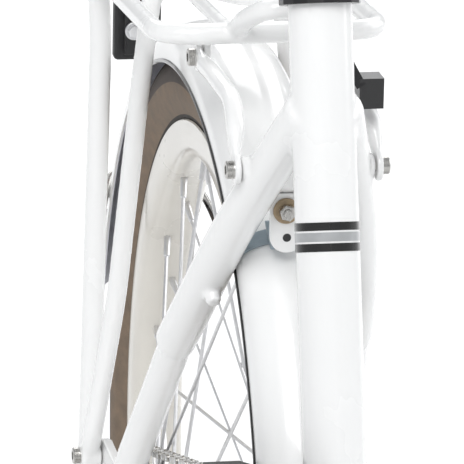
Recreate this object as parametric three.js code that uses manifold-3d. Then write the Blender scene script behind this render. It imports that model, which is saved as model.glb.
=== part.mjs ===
// A 20-inch folding bicycle with a low curved main beam, a rear rack and a coaster brake.
// Millimetres. +X points forward, +Y to the rider's left, +Z up. The origin is the point where
// the rear tyre meets the ground, so the rear axle is straight above it.
import * as THREE from "three";
import { mergeVertices } from "three/addons/utils/BufferGeometryUtils.js";
import Module from "manifold-3d";

const wasm = await Module();
wasm.setup();

// ---- Driving dimensions ----
const GAP = 0.3; // left between pieces that touch
const WHEEL_RADIUS = 250; // to the ground, so also the height of both axles
const TYRE_HALF = 20;
const TREAD_FLAT = 9; // half the width of the flat that meets the ground
const RIM_OUTER = 209;
const RIM_INNER = 189;
const RIM_HALF = 14.2;
const WHEEL_FACETS = 24;
const SPOKES_PER_FLANGE = 18;

const WHEELBASE = 970;
const TUBE_TILT = THREE.MathUtils.degToRad(16.7); // seat tube and head tube lean back by this
const BB = v(312, 0, 285); // bottom bracket centre
const BB_HALF = 34;
const SEAT_TUBE_RADIUS = 15.4;
const SEAT_TUBE_BORE = 13.9;
const SEAT_TUBE_LENGTH = 336;
const SEAT_POST_RADIUS = 13.6;
const STAY_RADIUS = 10.5;
const STAY_LOW_RADIUS = 8.6;
const CHAINSTAY_RADIUS = 7;
const DROPOUT_INNER = 53;
const DROPOUT_OUTER = 58;

const BEAM_RADIUS = 25;
const HINGE = { x: 452, y: 40, z: 301 }; // the pin that the frame folds about
const FLANGE_GAP = 2.5; // from the hinge plane to each half's flange
const FLANGE_THICK = 8;

const STEER_X = 928; // where the steering axis passes the height of the axles
const FORK_HALF = 50; // to the middle of a fork end
const HEAD_RADIUS = 18;
const CROWN_AT = 300; // distances along the steering axis, from the height of the axles
const HEAD_LOW = 320;
const HEAD_HIGH = 420;
const STEM_LOW = 430;
const BRAKE_PIVOT = 160;
const POST_HINGE = 472;
const BAR_AT = 880;

const RACK_TUBE = 5.2;
const RACK_HALF = 56.5;
const RACK_FRONT = 109;
const RACK_REAR = -228;
const RACK_Z = 540; // at the front, from where the platform slopes down to the rear
const RACK_SLOPE = 0.07;

const CHAINLINE = 40;
const PITCH = 12.7;
const RING_TEETH = 38;
const SPROCKET_TEETH = 16;
const CRANK_LENGTH = 152;
const GUARD_LENGTH = 105; // how far the chain guard reaches behind the bottom bracket
const CRANK_ANGLE = THREE.MathUtils.degToRad(-45); // the left crank points back and down by this

const FENDER_HALF = 23.6;
const FENDER_LIP = 240;
const FENDER_CROWN = 260.4; // inside, so above the tyre
const FENDER_SKIN = 1.6;

// ---- Materials ----
const paint = (color, roughness, metalness) =>
  new THREE.MeshStandardMaterial({ color, roughness, metalness });
const white = paint(0xf7f7f5, 0.25, 0);
const steel = paint(0xb4b6b8, 0.35, 1);
const alloy = paint(0xc9cbcd, 0.4, 1);
const black = paint(0x141415, 0.45, 0);
const rubber = paint(0x4b3a2f, 0.85, 0);
const cream = paint(0xdedacb, 0.3, 0);
const brown = paint(0x6a4a34, 0.7, 0);
const red = paint(0xa81418, 0.2, 0);

// ---- Solids ----
function v(x, y, z) {
  return new THREE.Vector3(x, y, z);
}

// A closed geometry as a manifold-3d solid with its faces outward.
function solid(geometry) {
  const bare = geometry.index ? geometry.toNonIndexed() : geometry.clone();
  bare.deleteAttribute("normal");
  bare.deleteAttribute("uv");
  const merged = mergeVertices(bare, 1e-3);
  const vertProperties = merged.attributes.position.array;
  const triVerts = new Uint32Array(merged.index.array);
  const made = new wasm.Manifold(new wasm.Mesh({ numProp: 3, vertProperties, triVerts }));
  if (made.volume() > 0) return made;
  for (let i = 0; i < triVerts.length; i += 3) {
    [triVerts[i + 1], triVerts[i + 2]] = [triVerts[i + 2], triVerts[i + 1]];
  }
  return new wasm.Manifold(new wasm.Mesh({ numProp: 3, vertProperties, triVerts }));
}

const join = (...solids) => wasm.Manifold.union(solids.flat());
const cut = (body, ...tools) => body.subtract(join(...tools));

// A straight round bar, tapered when the second radius differs.
function rod(from, to, radius, endRadius = radius, sides = 16) {
  const along = to.clone().sub(from);
  const g = new THREE.CylinderGeometry(endRadius, radius, along.length(), sides);
  const turn = new THREE.Quaternion().setFromUnitVectors(v(0, 1, 0), along.clone().normalize());
  const middle = from.clone().add(to).multiplyScalar(0.5);
  g.applyQuaternion(turn).translate(middle.x, middle.y, middle.z);
  return solid(g);
}

const across = (x, z, y0, y1, radius, sides = 16) =>
  rod(v(x, y0, z), v(x, y1, z), radius, radius, sides);

function block(x0, x1, y0, y1, z0, z1) {
  const g = new THREE.BoxGeometry(x1 - x0, y1 - y0, z1 - z0);
  g.translate((x0 + x1) / 2, (y0 + y1) / 2, (z0 + z1) / 2);
  return solid(g);
}

// A route whose steps fall on its own points, so that straight runs cost one step.
class Route extends THREE.Curve {
  constructor(points, closed = false) {
    super();
    this.points = closed ? [...points, points[0].clone()] : points;
    this.closed = closed;
  }
  getPoint(t) {
    const last = this.points.length - 1;
    const at = Math.min(Math.max(t, 0), 1) * last;
    const i = Math.min(Math.floor(at), last - 1);
    return this.points[i].clone().lerp(this.points[i + 1], at - i);
  }
  getPointAt(t) {
    return this.getPoint(t);
  }
  getTangentAt(t) {
    const last = this.points.length - 1;
    const i = Math.round(t * last);
    const before = this.closed && i === 0 ? last - 1 : Math.max(i - 1, 0);
    const after = this.closed && i === last ? 1 : Math.min(i + 1, last);
    const back = this.points[i].clone().sub(this.points[before]).normalize();
    const ahead = this.points[after].clone().sub(this.points[i]).normalize();
    return back.add(ahead).normalize();
  }
}

// The corners of a bent tube, each inner one rounded by a quadratic curve.
function bend(corners, radius, steps = 4) {
  const points = [corners[0]];
  for (let i = 1; i < corners.length - 1; i += 1) {
    const back = corners[i - 1].clone().sub(corners[i]);
    const ahead = corners[i + 1].clone().sub(corners[i]);
    const reach = Math.min(radius, back.length() * 0.45, ahead.length() * 0.45);
    const start = corners[i].clone().addScaledVector(back.normalize(), reach);
    const end = corners[i].clone().addScaledVector(ahead.normalize(), reach);
    const curve = new THREE.QuadraticBezierCurve3(start, corners[i], end);
    points.push(...curve.getPoints(steps));
  }
  points.push(corners[corners.length - 1]);
  return points;
}

function sweep(outline, points, closed = false) {
  const route = new Route(points, closed);
  const shape = new THREE.Shape(outline.map(([x, y]) => new THREE.Vector2(x, y)));
  const steps = route.points.length - 1;
  return solid(new THREE.ExtrudeGeometry(shape, { steps, extrudePath: route, curveSegments: 1 }));
}

const ring = (radius, sides) =>
  Array.from({ length: sides }, (_, i) => {
    const a = (2 * Math.PI * i) / sides;
    return [radius * Math.cos(a), radius * Math.sin(a)];
  });

const tube = (corners, radius, bendRadius = 40, sides = 10, steps = 4) =>
  sweep(ring(radius, sides), bend(corners, bendRadius, steps));

// A profile of [radius, y] pairs turned about the line through (x, z) along Y.
function turned(profile, x, z, segments, phase = 0) {
  const points = profile.map(([r, y]) => new THREE.Vector2(r, y));
  const g = new THREE.LatheGeometry(points, segments, phase);
  return solid(g.translate(x, 0, z));
}

const sleeve = (x, z, y0, y1, outer, inner, sides = 20) =>
  cut(across(x, z, y0, y1, outer, sides), across(x, z, y0 - 1, y1 + 1, inner, sides));

// A flat plate: its outline in X and Z, its two faces at y0 and y1.
function plate(outline, y0, y1) {
  const shape = new THREE.Shape(outline.map(([x, z]) => new THREE.Vector2(x, z)));
  const g = new THREE.ExtrudeGeometry(shape, { depth: y1 - y0, bevelEnabled: false });
  return solid(g.rotateX(Math.PI / 2).translate(0, y1, 0));
}

const arc = (x, z, radius, from, to, steps) =>
  Array.from({ length: steps + 1 }, (_, i) => {
    const a = THREE.MathUtils.degToRad(from + ((to - from) * i) / steps);
    return [x + radius * Math.cos(a), z + radius * Math.sin(a)];
  });

const both = (make) => [make(1), make(-1)];

// ---- The exported group ----
const bicycle = new THREE.Group();

function add(name, made, material) {
  const mesh = made.getMesh();
  const g = new THREE.BufferGeometry();
  const xyz = new Float32Array(mesh.numVert * 3);
  for (let i = 0; i < mesh.numVert; i += 1) {
    xyz.set(mesh.vertProperties.subarray(i * mesh.numProp, i * mesh.numProp + 3), i * 3);
  }
  g.setAttribute("position", new THREE.BufferAttribute(xyz, 3));
  g.setIndex(new THREE.BufferAttribute(mesh.triVerts, 1));
  g.computeVertexNormals();
  const piece = new THREE.Mesh(g, material);
  piece.name = name;
  bicycle.add(piece);
}

// ---- Seat tube and steering frames of reference ----
const tiltUp = v(-Math.sin(TUBE_TILT), 0, Math.cos(TUBE_TILT));
const tiltForward = v(Math.cos(TUBE_TILT), 0, Math.sin(TUBE_TILT));
const onSeat = (along, ahead = 0, side = 0) =>
  BB.clone().addScaledVector(tiltUp, along).addScaledVector(tiltForward, ahead).add(v(0, side, 0));
const onSteer = (along, ahead = 0, side = 0) =>
  v(STEER_X, side, WHEEL_RADIUS).addScaledVector(tiltUp, along).addScaledVector(tiltForward, ahead);

// ---- Rear frame ----
const STAY_PATH = [[239, 8.5, 536], [176, 31.5, 459], [134, 40.5, 411], [104, 45, 381]];
const STAY_LOW_PATH = [[110, 44.2, 387], [90, 47.4, 360], [50, 51.6, 315], [26, 55, 285], [12, 55.8, 268]];
const CHAINSTAY_PATH = [[304, 14, 283], [262, 27.5, 279], [225, 29.7, 275], [150, 42, 266],
  [44, 53.6, 255]];
const STRUT_BOSS = v(203, 0, 497);
const STRUT_Y = 34.8; // to the middle of a strut's lower eye
const STRUT_TOP = v(93, 0, 524.5);
const PLATE_X = 179;
const PLATE_HOLE = [-6.3, 464]; // across and up
const RACK_FOOT = v(-36, 0, 276);

function stayPath(path, side) {
  return path.map(([x, y, z]) => v(x, side * y, z));
}

function dropout(side) {
  const outline = [[52, 246], [52, 262], [30, 282], [2, 284], [-30, 286], [-43, 283], [-45, 271],
    [-34, 262], [-24, 236], [-8, 238], [4, 232], [14, 226], [24, 232], [40, 240]];
  const body = plate(outline, DROPOUT_INNER, DROPOUT_OUTER);
  const slot = join(across(0, 250, 50, 60, 5.4, 12), block(-5.4, 5.4, 50, 60, 220, 250));
  const made = cut(body, slot, across(RACK_FOOT.x, RACK_FOOT.z, 50, 60, 2.8, 8));
  return side > 0 ? made : made.mirror([0, 1, 0]);
}

function bridgePlate() {
  const outline = [[-13.5, 490], ...arc(0, 464.5, 13.5, 180, 360, 8), [13.5, 490]];
  const shape = new THREE.Shape(outline.map(([y, z]) => new THREE.Vector2(y, z)));
  const g = new THREE.ExtrudeGeometry(shape, { depth: 3, bevelEnabled: false });
  g.rotateX(Math.PI / 2).rotateZ(Math.PI / 2).translate(PLATE_X, 0, 0);
  return cut(solid(g), rod(v(PLATE_X - 5, ...PLATE_HOLE), v(PLATE_X + 5, ...PLATE_HOLE), 2.6, 2.6, 8));
}

const hingePoint = (up) => v(HINGE.x, HINGE.y, HINGE.z + up);

function rearFlange() {
  const x1 = HINGE.x - FLANGE_GAP;
  const x0 = x1 - FLANGE_THICK;
  const face = block(x0, x1, -28, HINGE.y, HINGE.z - 33, HINGE.z + 33);
  const barrel = rod(hingePoint(-33), hingePoint(33), 9);
  const room = block(x1, HINGE.x + 12, -40, HINGE.y + 12, HINGE.z - 16, HINGE.z + 16);
  const knuckleRoom = rod(hingePoint(-16), hingePoint(16), 9.8);
  return cut(join(face, barrel), room, knuckleRoom);
}

function rearFrame() {
  const shell = across(BB.x, BB.z, -BB_HALF, BB_HALF, 20, 16);
  const seatTube = rod(onSeat(0), onSeat(SEAT_TUBE_LENGTH), SEAT_TUBE_RADIUS, SEAT_TUBE_RADIUS, 16);
  const stub = rod(v(BB.x, 0, 283), v(HINGE.x - 9, 0, HINGE.z), BEAM_RADIUS, BEAM_RADIUS, 12);
  const stays = both((s) => tube(stayPath(STAY_PATH, s), STAY_RADIUS, 30, 10, 2));
  const lowStays = both((s) => tube(stayPath(STAY_LOW_PATH, s), STAY_LOW_RADIUS, 30, 10, 2));
  const chainstays = both((s) => tube(stayPath(CHAINSTAY_PATH, s), CHAINSTAY_RADIUS, 25, 8, 2));
  const bosses = both((s) => across(STRUT_BOSS.x, STRUT_BOSS.z, s * 16, s * 32.7, 6.5, 12));
  const bossBores = both((s) => across(STRUT_BOSS.x, STRUT_BOSS.z, s * 22, s * 36, 2.8, 8));
  const cableBoss = rod(v(136, -40, 410), v(150, -55, 414), 4.2, 3.8, 8);
  const upperBridge = across(PLATE_X + 6, 486, -24, 24, 6, 8);
  const lowerBridge = across(266, 279, -27, 27, 6, 8);
  const frame = join(shell, seatTube, stub, stays, lowStays, chainstays, bosses, cableBoss,
    upperBridge, lowerBridge, bridgePlate(), dropout(1), dropout(-1), rearFlange());
  const seatBore = rod(onSeat(48), onSeat(SEAT_TUBE_LENGTH + 5), SEAT_TUBE_BORE, SEAT_TUBE_BORE, 16);
  const shellBore = across(BB.x, BB.z, -BB_HALF - 1, BB_HALF + 1, 17, 16);
  const pinBore = rod(hingePoint(-40), hingePoint(40), 4.3, 4.3, 12);
  const beamBore = rod(v(BB.x + 42, 0, 288), v(HINGE.x + 3, 0, HINGE.z + 0.5), 22, 22, 10);
  return cut(frame, seatBore, shellBore, pinBore, beamBore, ...bossBores);
}

add("rear_frame", rearFrame(), white);

// ---- Seat clamp, seat post and saddle ----
const COLLAR_LOW = 311;
const COLLAR_HIGH = 337;
const CLAMP_AT = 330;
const SKEWER_AHEAD = -24; // the quick-release skewer lies behind the tube
const SADDLE_AT = 560; // along the seat tube, from the bottom bracket

function seatCollar() {
  const skewerPoint = (side) => onSeat(CLAMP_AT, SKEWER_AHEAD, side);
  const band = rod(onSeat(COLLAR_LOW), onSeat(COLLAR_HIGH), 19.5, 19.5, 16);
  const ears = rod(skewerPoint(-9), skewerPoint(9), 7.5, 7.5, 12);
  const web = rod(onSeat(CLAMP_AT - 2, -15, -8), onSeat(CLAMP_AT - 2, -15, 8), 8.5, 8.5, 8);
  const bore = rod(onSeat(COLLAR_LOW - 9), onSeat(COLLAR_HIGH + 9), 15.7, 15.7, 16);
  const skewer = rod(skewerPoint(-16), skewerPoint(17), 2.5, 2.5, 8);
  const nut = rod(skewerPoint(-16), skewerPoint(-8), 6.5, 6, 8);
  return join(cut(join(band, ears, web), bore), skewer, nut);
}

// The lever lies behind the tube and its tip turns out to the left.
function seatLever() {
  const hub = onSeat(CLAMP_AT, SKEWER_AHEAD, 9 + GAP);
  const cam = rod(hub, hub.clone().add(v(0, 7, 0)), 7, 7, 12);
  const bore = rod(hub.clone().add(v(0, -2, 0)), hub.clone().add(v(0, 9, 0)), 2.5 + GAP, 2.5 + GAP, 8);
  const route = [v(hub.x, 13.8, hub.z - 4), v(hub.x + 2, 15.5, hub.z - 40), v(hub.x + 6, 25, hub.z - 58)];
  const arm = sweep([[-2.5, -6.5], [2.5, -6.5], [2.5, 6.5], [-2.5, 6.5]], bend(route, 12));
  const tip = block(hub.x - 1, hub.x + 12, 24, 36, hub.z - 68, hub.z - 53);
  return cut(join(cam, arm, tip), bore);
}

function saddlePad() {
  const z = onSeat(SADDLE_AT).z + 40;
  const x = onSeat(SADDLE_AT).x;
  const outline = new THREE.Shape();
  outline.moveTo(x + 150, 0);
  outline.bezierCurveTo(x + 150, 24, x + 128, 22, x + 95, 24);
  outline.bezierCurveTo(x + 40, 28, x - 10, 80, x - 70, 95);
  outline.bezierCurveTo(x - 112, 98, x - 122, 60, x - 112, 0);
  outline.bezierCurveTo(x - 122, -60, x - 112, -98, x - 70, -95);
  outline.bezierCurveTo(x - 10, -80, x + 40, -28, x + 95, -24);
  outline.bezierCurveTo(x + 128, -22, x + 150, -24, x + 150, 0);
  const g = new THREE.ExtrudeGeometry(outline, {
    depth: 24, bevelEnabled: true, bevelThickness: 9, bevelSize: 9, bevelOffset: -9,
    bevelSegments: 2, curveSegments: 5,
  });
  return solid(g.translate(0, 0, z));
}

function saddleBase() {
  const x = onSeat(SADDLE_AT).x;
  const z = onSeat(SADDLE_AT).z + 24;
  const outline = [[x + 128, -12], [x + 128, 12], [x + 60, 20], [x - 60, 76], [x - 92, 70],
    [x - 92, -70], [x - 60, -76], [x + 60, -20]];
  const shape = new THREE.Shape(outline.map(([a, b]) => new THREE.Vector2(a, b)));
  const g = new THREE.ExtrudeGeometry(shape, { depth: 5, bevelEnabled: false });
  return solid(g.translate(0, 0, z));
}

function saddleRails() {
  const top = onSeat(SADDLE_AT);
  const rails = both((s) => tube([
    v(top.x + 100, 0, top.z + 23), v(top.x + 76, s * 14, top.z + 12), v(top.x + 48, s * 21, top.z + 4),
    v(top.x - 50, s * 22, top.z + 4), v(top.x - 78, s * 34, top.z + 23)], 3.5, 20, 8, 3));
  return join(...rails);
}

function saddleClamp() {
  const top = onSeat(SADDLE_AT);
  const body = block(top.x - 20, top.x + 20, -30, 30, top.z - 6, top.z + 14);
  const grooves = both((s) =>
    rod(v(top.x - 40, s * 21.5, top.z + 4), v(top.x + 40, s * 21.5, top.z + 4), 4.6, 4.6, 8));
  return cut(body, ...grooves);
}

const CLAMP_DROP = 4; // the post ends this far below the saddle clamp's middle
add("seat_clamp_collar", seatCollar(), black);
add("seat_clamp_lever", seatLever(), black);
const postBottom = onSeat(212);
const postTop = onSeat(SADDLE_AT - CLAMP_DROP);
const postBore = rod(onSeat(205), onSeat(500), 12.8, 12.8, 12);
const seatPost = cut(rod(postBottom, postTop, SEAT_POST_RADIUS, SEAT_POST_RADIUS, 16), postBore);
add("seat_post", join(seatPost, saddleClamp()), alloy);
add("saddle_frame", join(saddleBase(), saddleRails()), black);
add("saddle", saddlePad(), brown);

// ---- Wheels ----
const flatFacing = Math.PI / WHEEL_FACETS; // turns a facet, not a corner, to the ground
const cornerRadius = (r) => r / Math.cos(Math.PI / WHEEL_FACETS);

function wheelRing(x, sideProfile) {
  const mirrored = sideProfile.map(([r, y]) => [r, -y]).reverse();
  const closed = [...sideProfile, ...mirrored, sideProfile[0]];
  return turned(closed.map(([r, y]) => [cornerRadius(r), y]), x, WHEEL_RADIUS, WHEEL_FACETS, flatFacing);
}

// Each side profile runs from the middle of the inside, round the edge, to the middle outside.
const tyre = (x) => wheelRing(x, [[246, 5], [228, 15.5], [204.4, 6.5], [204.4, 9.8], [212, 12.8],
  [229, TYRE_HALF], [WHEEL_RADIUS, TREAD_FLAT]]);
const rim = (x) => wheelRing(x, [[202.5, 5], [203.6, 12], [RIM_OUTER, 12.2], [RIM_OUTER, RIM_HALF],
  [196, RIM_HALF], [RIM_INNER, 7]]);

// One flange's spokes and the elbows' ring that they hang on; each leans toward its neighbour.
function spokes(x, flangeY, flangeRadius, rimY, phase) {
  const lean = Math.PI / SPOKES_PER_FLANGE / 3;
  const point = (radius, angle, y) =>
    v(x + radius * Math.cos(angle), y, WHEEL_RADIUS + radius * Math.sin(angle));
  const side = Math.sign(flangeY);
  const parts = [cut(
    across(x, WHEEL_RADIUS, flangeY, flangeY + side * 2, flangeRadius, SPOKES_PER_FLANGE),
    across(x, WHEEL_RADIUS, flangeY - 5, flangeY + 5, flangeRadius - 4, SPOKES_PER_FLANGE))];
  for (let i = 0; i < SPOKES_PER_FLANGE; i += 1) {
    const angle = phase + (2 * Math.PI * i) / SPOKES_PER_FLANGE;
    const atHub = angle + (i % 2 ? lean : -lean);
    parts.push(rod(point(flangeRadius - 2, atHub, flangeY + side * 1.3), point(RIM_INNER - 1, angle,
      rimY), 1.2, 1.2, 3));
  }
  return join(...parts);
}

function hubShell(x, flangeY, flangeRadius, barrel, bore) {
  const body = join(
    across(x, WHEEL_RADIUS, -flangeY - 6, flangeY + 6, barrel, 12),
    across(x, WHEEL_RADIUS, flangeY - 3, flangeY, flangeRadius, 16),
    across(x, WHEEL_RADIUS, -flangeY, -flangeY + 3, flangeRadius, 16));
  return cut(body, across(x, WHEEL_RADIUS, -flangeY - 9, flangeY + 9, bore, 12));
}

function nuttedAxle(x, half, radius, washerFrom) {
  const nuts = both((s) =>
    across(x, WHEEL_RADIUS, s * (washerFrom + GAP), s * (washerFrom + 8), 8.5, 6));
  return join(across(x, WHEEL_RADIUS, -half, half, radius, 12), ...nuts);
}

const REAR_FLANGE = { y: 28, radius: 30, barrel: 22 };
const FRONT_FLANGE = { y: 33, radius: 21, barrel: 15 };
for (const [end, x, flange] of [["rear", 0, REAR_FLANGE], ["front", WHEELBASE, FRONT_FLANGE]]) {
  add(`${end}_tyre`, tyre(x), rubber);
  add(`${end}_rim`, rim(x), cream);
  const pitch = Math.PI / SPOKES_PER_FLANGE;
  add(`${end}_spokes_left`, spokes(x, flange.y + GAP, flange.radius, 3, 0), steel);
  add(`${end}_spokes_right`, spokes(x, -flange.y - GAP, flange.radius, -3, pitch), steel);
  add(`${end}_hub_shell`, hubShell(x, flange.y, flange.radius, flange.barrel, 9), alloy);
}
add("rear_axle", nuttedAxle(0, 72, 5, DROPOUT_OUTER), steel);
add("front_axle", nuttedAxle(WHEELBASE, 66, 4.5, FORK_HALF + 4), steel);

function brakeArm() {
  const outline = [...arc(0, 250, 17, 60, 290, 8), [92, 232], [99, 235], [99, 243], [92, 246]];
  return cut(plate(outline, 40.4, 43), across(0, 250, 38, 60, 5.4, 12));
}
add("coaster_brake_arm", brakeArm(), steel);

// ---- Fenders ----
function fenderOutline(offset) {
  const rise = FENDER_CROWN - FENDER_LIP;
  const steps = 6;
  const face = (out) => Array.from({ length: steps + 1 }, (_, i) => {
    const a = Math.PI * (i / steps);
    return [(FENDER_HALF + out) * Math.cos(a), (rise + out) * Math.sin(a) ** 0.8];
  });
  return [...face(offset + FENDER_SKIN), ...face(offset).reverse()];
}

function wheelArc(x, radius, from, to, steps) {
  return arc(x, WHEEL_RADIUS, radius, from, to, steps).map(([px, pz]) => v(px, 0, pz));
}

const fender = (x, from, to, steps) =>
  sweep(fenderOutline(0), wheelArc(x, FENDER_LIP, from, to, steps));

add("rear_fender", fender(0, 12, 167, 15), white);
add("front_fender", fender(WHEELBASE, 36, 172, 13), white);

// The steel strap over the rear fender, with a tab bolted to the frame's bridge plate.
function fenderClip() {
  const band = sweep(fenderOutline(FENDER_SKIN + GAP + 0.2), wheelArc(0, FENDER_LIP, 50, 53.5, 1));
  const tab = plate([[160, 459.5], [168, 453], [183.4, 446], [185.4, 446], [185.4, 448.6], [176, 450.2],
    [168, 457]], -13, -1);
  const front = PLATE_X + 3 + GAP;
  const lug = block(front, front + 2, -13, 1, 446.6, 472);
  const [y, z] = PLATE_HOLE;
  const shank = rod(v(PLATE_X - 5, y, z), v(front + 7, y, z), 2.2, 2.2, 8);
  const head = rod(v(front + 1.5, y, z), v(front + 6, y, z), 4.4, 4.4, 6);
  const stayRoom = both((s) => tube(stayPath(STAY_PATH, s), STAY_RADIUS + GAP + 0.2, 30, 12, 2));
  return join(cut(band, ...stayRoom), tab, lug, shank, head);
}

// A wire stay from both sides of the axle, with its middle over the fender.
function fenderStay(x, angle, foot) {
  const a = THREE.MathUtils.degToRad(angle);
  const at = (r, y) => v(x + r * Math.cos(a), y, WHEEL_RADIUS + r * Math.sin(a));
  const half = FENDER_HALF + 6;
  const side = (s) => [...foot.map(([fx, fy, fz]) => v(fx, s * fy, fz)), at(FENDER_LIP - 4, s * half),
    at(FENDER_CROWN + 5, s * 21)];
  return tube([...side(-1), ...side(1).reverse()], 2, 6, 6, 2);
}

add("fender_clip", fenderClip(), steel);
add("rear_fender_stay", fenderStay(0, 152, [[-20, 60.6, 247], [-58, 60.6, 263]]), steel);
add("front_fender_stay", fenderStay(WHEELBASE, 158, [[WHEELBASE - 10, 63.8, 266]]), steel);

// ---- Rack ----
const rackZ = (x) => RACK_Z - RACK_SLOPE * (RACK_FRONT - x);
const onRack = (x, y, up = 0) => v(x, y, rackZ(x) + up);
const LEG_A = [[-37, 64.4, 276], [-37.5, 63.8, 292], [-79, 54, 493], [-86, 55, 526]];
const LEG_B = [[-34, 64.4, 278], [-27, 63.9, 291], [-30, 52, 363], [-40, 39, 480], [-43, 33, 529], [-43,
  0, 529.5]];
const NOSE = [[RACK_FRONT - 3, -18, 540], [126, -17, 552], [143, -9, 561], [143, 9, 561], [126, 17, 552],
  [RACK_FRONT - 3, 18, 540]];

function rack() {
  const point = (s) => ([x, y, z]) => v(x, s * y, z);
  const hoop = tube([onRack(RACK_REAR, 0), onRack(RACK_REAR, -RACK_HALF), onRack(RACK_FRONT, -RACK_HALF),
    onRack(RACK_FRONT, RACK_HALF), onRack(RACK_REAR, RACK_HALF), onRack(RACK_REAR, 0)], RACK_TUBE, 24, 6,
      2);
  const cross = [-43, -140].map((x) => rod(onRack(x, -RACK_HALF), onRack(x, RACK_HALF), 4.2, 4.2, 6));
  const spines = both((s) => rod(onRack(RACK_REAR, s * 20), onRack(RACK_FRONT, s * 20), 3.6, 3.6, 4));
  const legsA = both((s) => tube(LEG_A.map(point(s)), RACK_TUBE + 0.6, 20, 6, 2));
  const legsB = both((s) => tube(LEG_B.map(point(s)), RACK_TUBE, 14, 6, 2));
  const nose = tube(NOSE.map(point(1)), RACK_TUBE, 12, 6, 2);
  const feet = both((s) => across(RACK_FOOT.x, RACK_FOOT.z, s * 58.4, s * 69, 7, 8));
  const footBolts = both((s) => bolt(RACK_FOOT.x, RACK_FOOT.z, 69, s, 16));
  const tabs = both((s) => plate([[84, 516], [97, 516], [100, 540], [84, 538]],
    s > 0 ? 28.6 : -32, s > 0 ? 32 : -28.6));
  const tabCross = rod(onRack(RACK_FRONT - 10, -RACK_HALF), onRack(RACK_FRONT - 10, RACK_HALF), 4, 4, 8);
  const drop = block(RACK_REAR - 6, RACK_REAR - 2, -15, 1, 441, rackZ(RACK_REAR));
  const tabHoles = across(STRUT_TOP.x, STRUT_TOP.z, -45, 45, 2.8, 8);
  return cut(join(hoop, ...cross, ...spines, ...legsA, ...legsB, nose, ...feet, ...tabs, tabCross, drop,
    ...footBolts), tabHoles);
}

function rackStrut(side) {
  const path = [v(198, side * STRUT_Y, 504), v(193.7, side * 33.8, 514.6), v(174.6, side * 31.9, 524),
    v(129, side * 33.6, 526), v(106, side * 34.2, 524.6)];
  const eye = (centre, y) => across(centre.x, centre.z, side * (y - 1.5), side * (y + 1.5), 7.5, 12);
  const flats = join(
    plate([[197, 491], [209, 491], [203, 511], [192, 511]], STRUT_Y - 1.5, STRUT_Y + 1.5),
    plate([[93, 517], [108, 520], [108, 529], [93, 532]], 32.7, 35.7));
  const body = join(tube(path, 4.6, 12, 8, 2), eye(STRUT_BOSS, STRUT_Y), eye(STRUT_TOP, 34.2),
    side > 0 ? flats : flats.mirror([0, 1, 0]));
  return join(body, bolt(STRUT_BOSS.x, STRUT_BOSS.z, STRUT_Y + 1.1, side, 12), bolt(STRUT_TOP.x, STRUT_TOP.z, 35.4,
    side, 8));
}

const bolt = (x, z, y, side, reach) => join(
  across(x, z, side * y, side * (y + 4), 4.4, 8), across(x, z, side * (y - reach), side * y, 2.4, 8));

add("rack", rack(), white);
for (const [name, side] of [["left", 1], ["right", -1]]) {
  add(`rack_strut_${name}`, rackStrut(side), white);
}

// The spring clip lies on the platform and lifts from its rear pivot.
const CLIP_PIVOT = onRack(-208, 0, 9);
function rackClip() {
  const at = (x, y) => onRack(x, y, 9);
  const arms = tube([at(-208, -18), at(50, -18), at(74, 0), at(50, 18), at(-208, 18)], 3, 16, 8, 2);
  return join(arms, rod(at(-208, -22), at(-208, 22), 4, 4, 8));
}
add("rack_spring_clip", rackClip(), white);

const REFLECTOR_X = RACK_REAR - 6 - GAP;
add("rear_reflector_housing", block(REFLECTOR_X - 9, REFLECTOR_X, -20, 6, 437, 471), black);
add("rear_reflector_lens", block(REFLECTOR_X - 14, REFLECTOR_X - 9 - GAP, -18, 4, 439, 469), red);

function fenderLamp() {
  const tilt = 17.5; // degrees the fender's surface leans here
  const g = new THREE.BoxGeometry(15, 40, 24);
  g.translate(-FENDER_CROWN - FENDER_SKIN - 0.5 - 7.5, 0, 0).rotateY(THREE.MathUtils.degToRad(tilt));
  return solid(g.translate(0, 0, WHEEL_RADIUS));
}
add("fender_lamp", fenderLamp(), black);

// ---- Drive ----
const pitchRadius = (teeth) => PITCH / (2 * Math.sin(Math.PI / teeth));
const RING_R = pitchRadius(RING_TEETH);
const SPROCKET_R = pitchRadius(SPROCKET_TEETH);

// A toothed wheel's outline: each tooth is a point between two gullets.
function toothed(x, z, teeth, radius) {
  const outline = [];
  for (let i = 0; i < teeth; i += 1) {
    for (const [r, part] of [[radius - 3.8, -0.26], [radius + 3.4, 0], [radius - 3.8, 0.26]]) {
      const a = (2 * Math.PI * (i + part)) / teeth;
      outline.push([x + r * Math.cos(a), z + r * Math.sin(a)]);
    }
  }
  return outline;
}

const crankDirection = v(Math.cos(CRANK_ANGLE), 0, -Math.sin(CRANK_ANGLE)); // the right crank's
const pedalAt = (side) => BB.clone().addScaledVector(crankDirection,
  side < 0 ? CRANK_LENGTH : -CRANK_LENGTH);

function chainring() {
  const disc = plate(toothed(BB.x, BB.z, RING_TEETH, RING_R), -CHAINLINE - 1.4, -CHAINLINE + 1.4);
  const windows = [0, 1, 2, 3, 4].map((i) => {
    const a = THREE.MathUtils.degToRad(36 + 72 * i);
    return across(BB.x + 46 * Math.cos(a), BB.z + 46 * Math.sin(a), -60, -30, 17, 8);
  });
  return cut(disc, ...windows, across(BB.x, BB.z, -60, -30, 11, 12));
}

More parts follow.
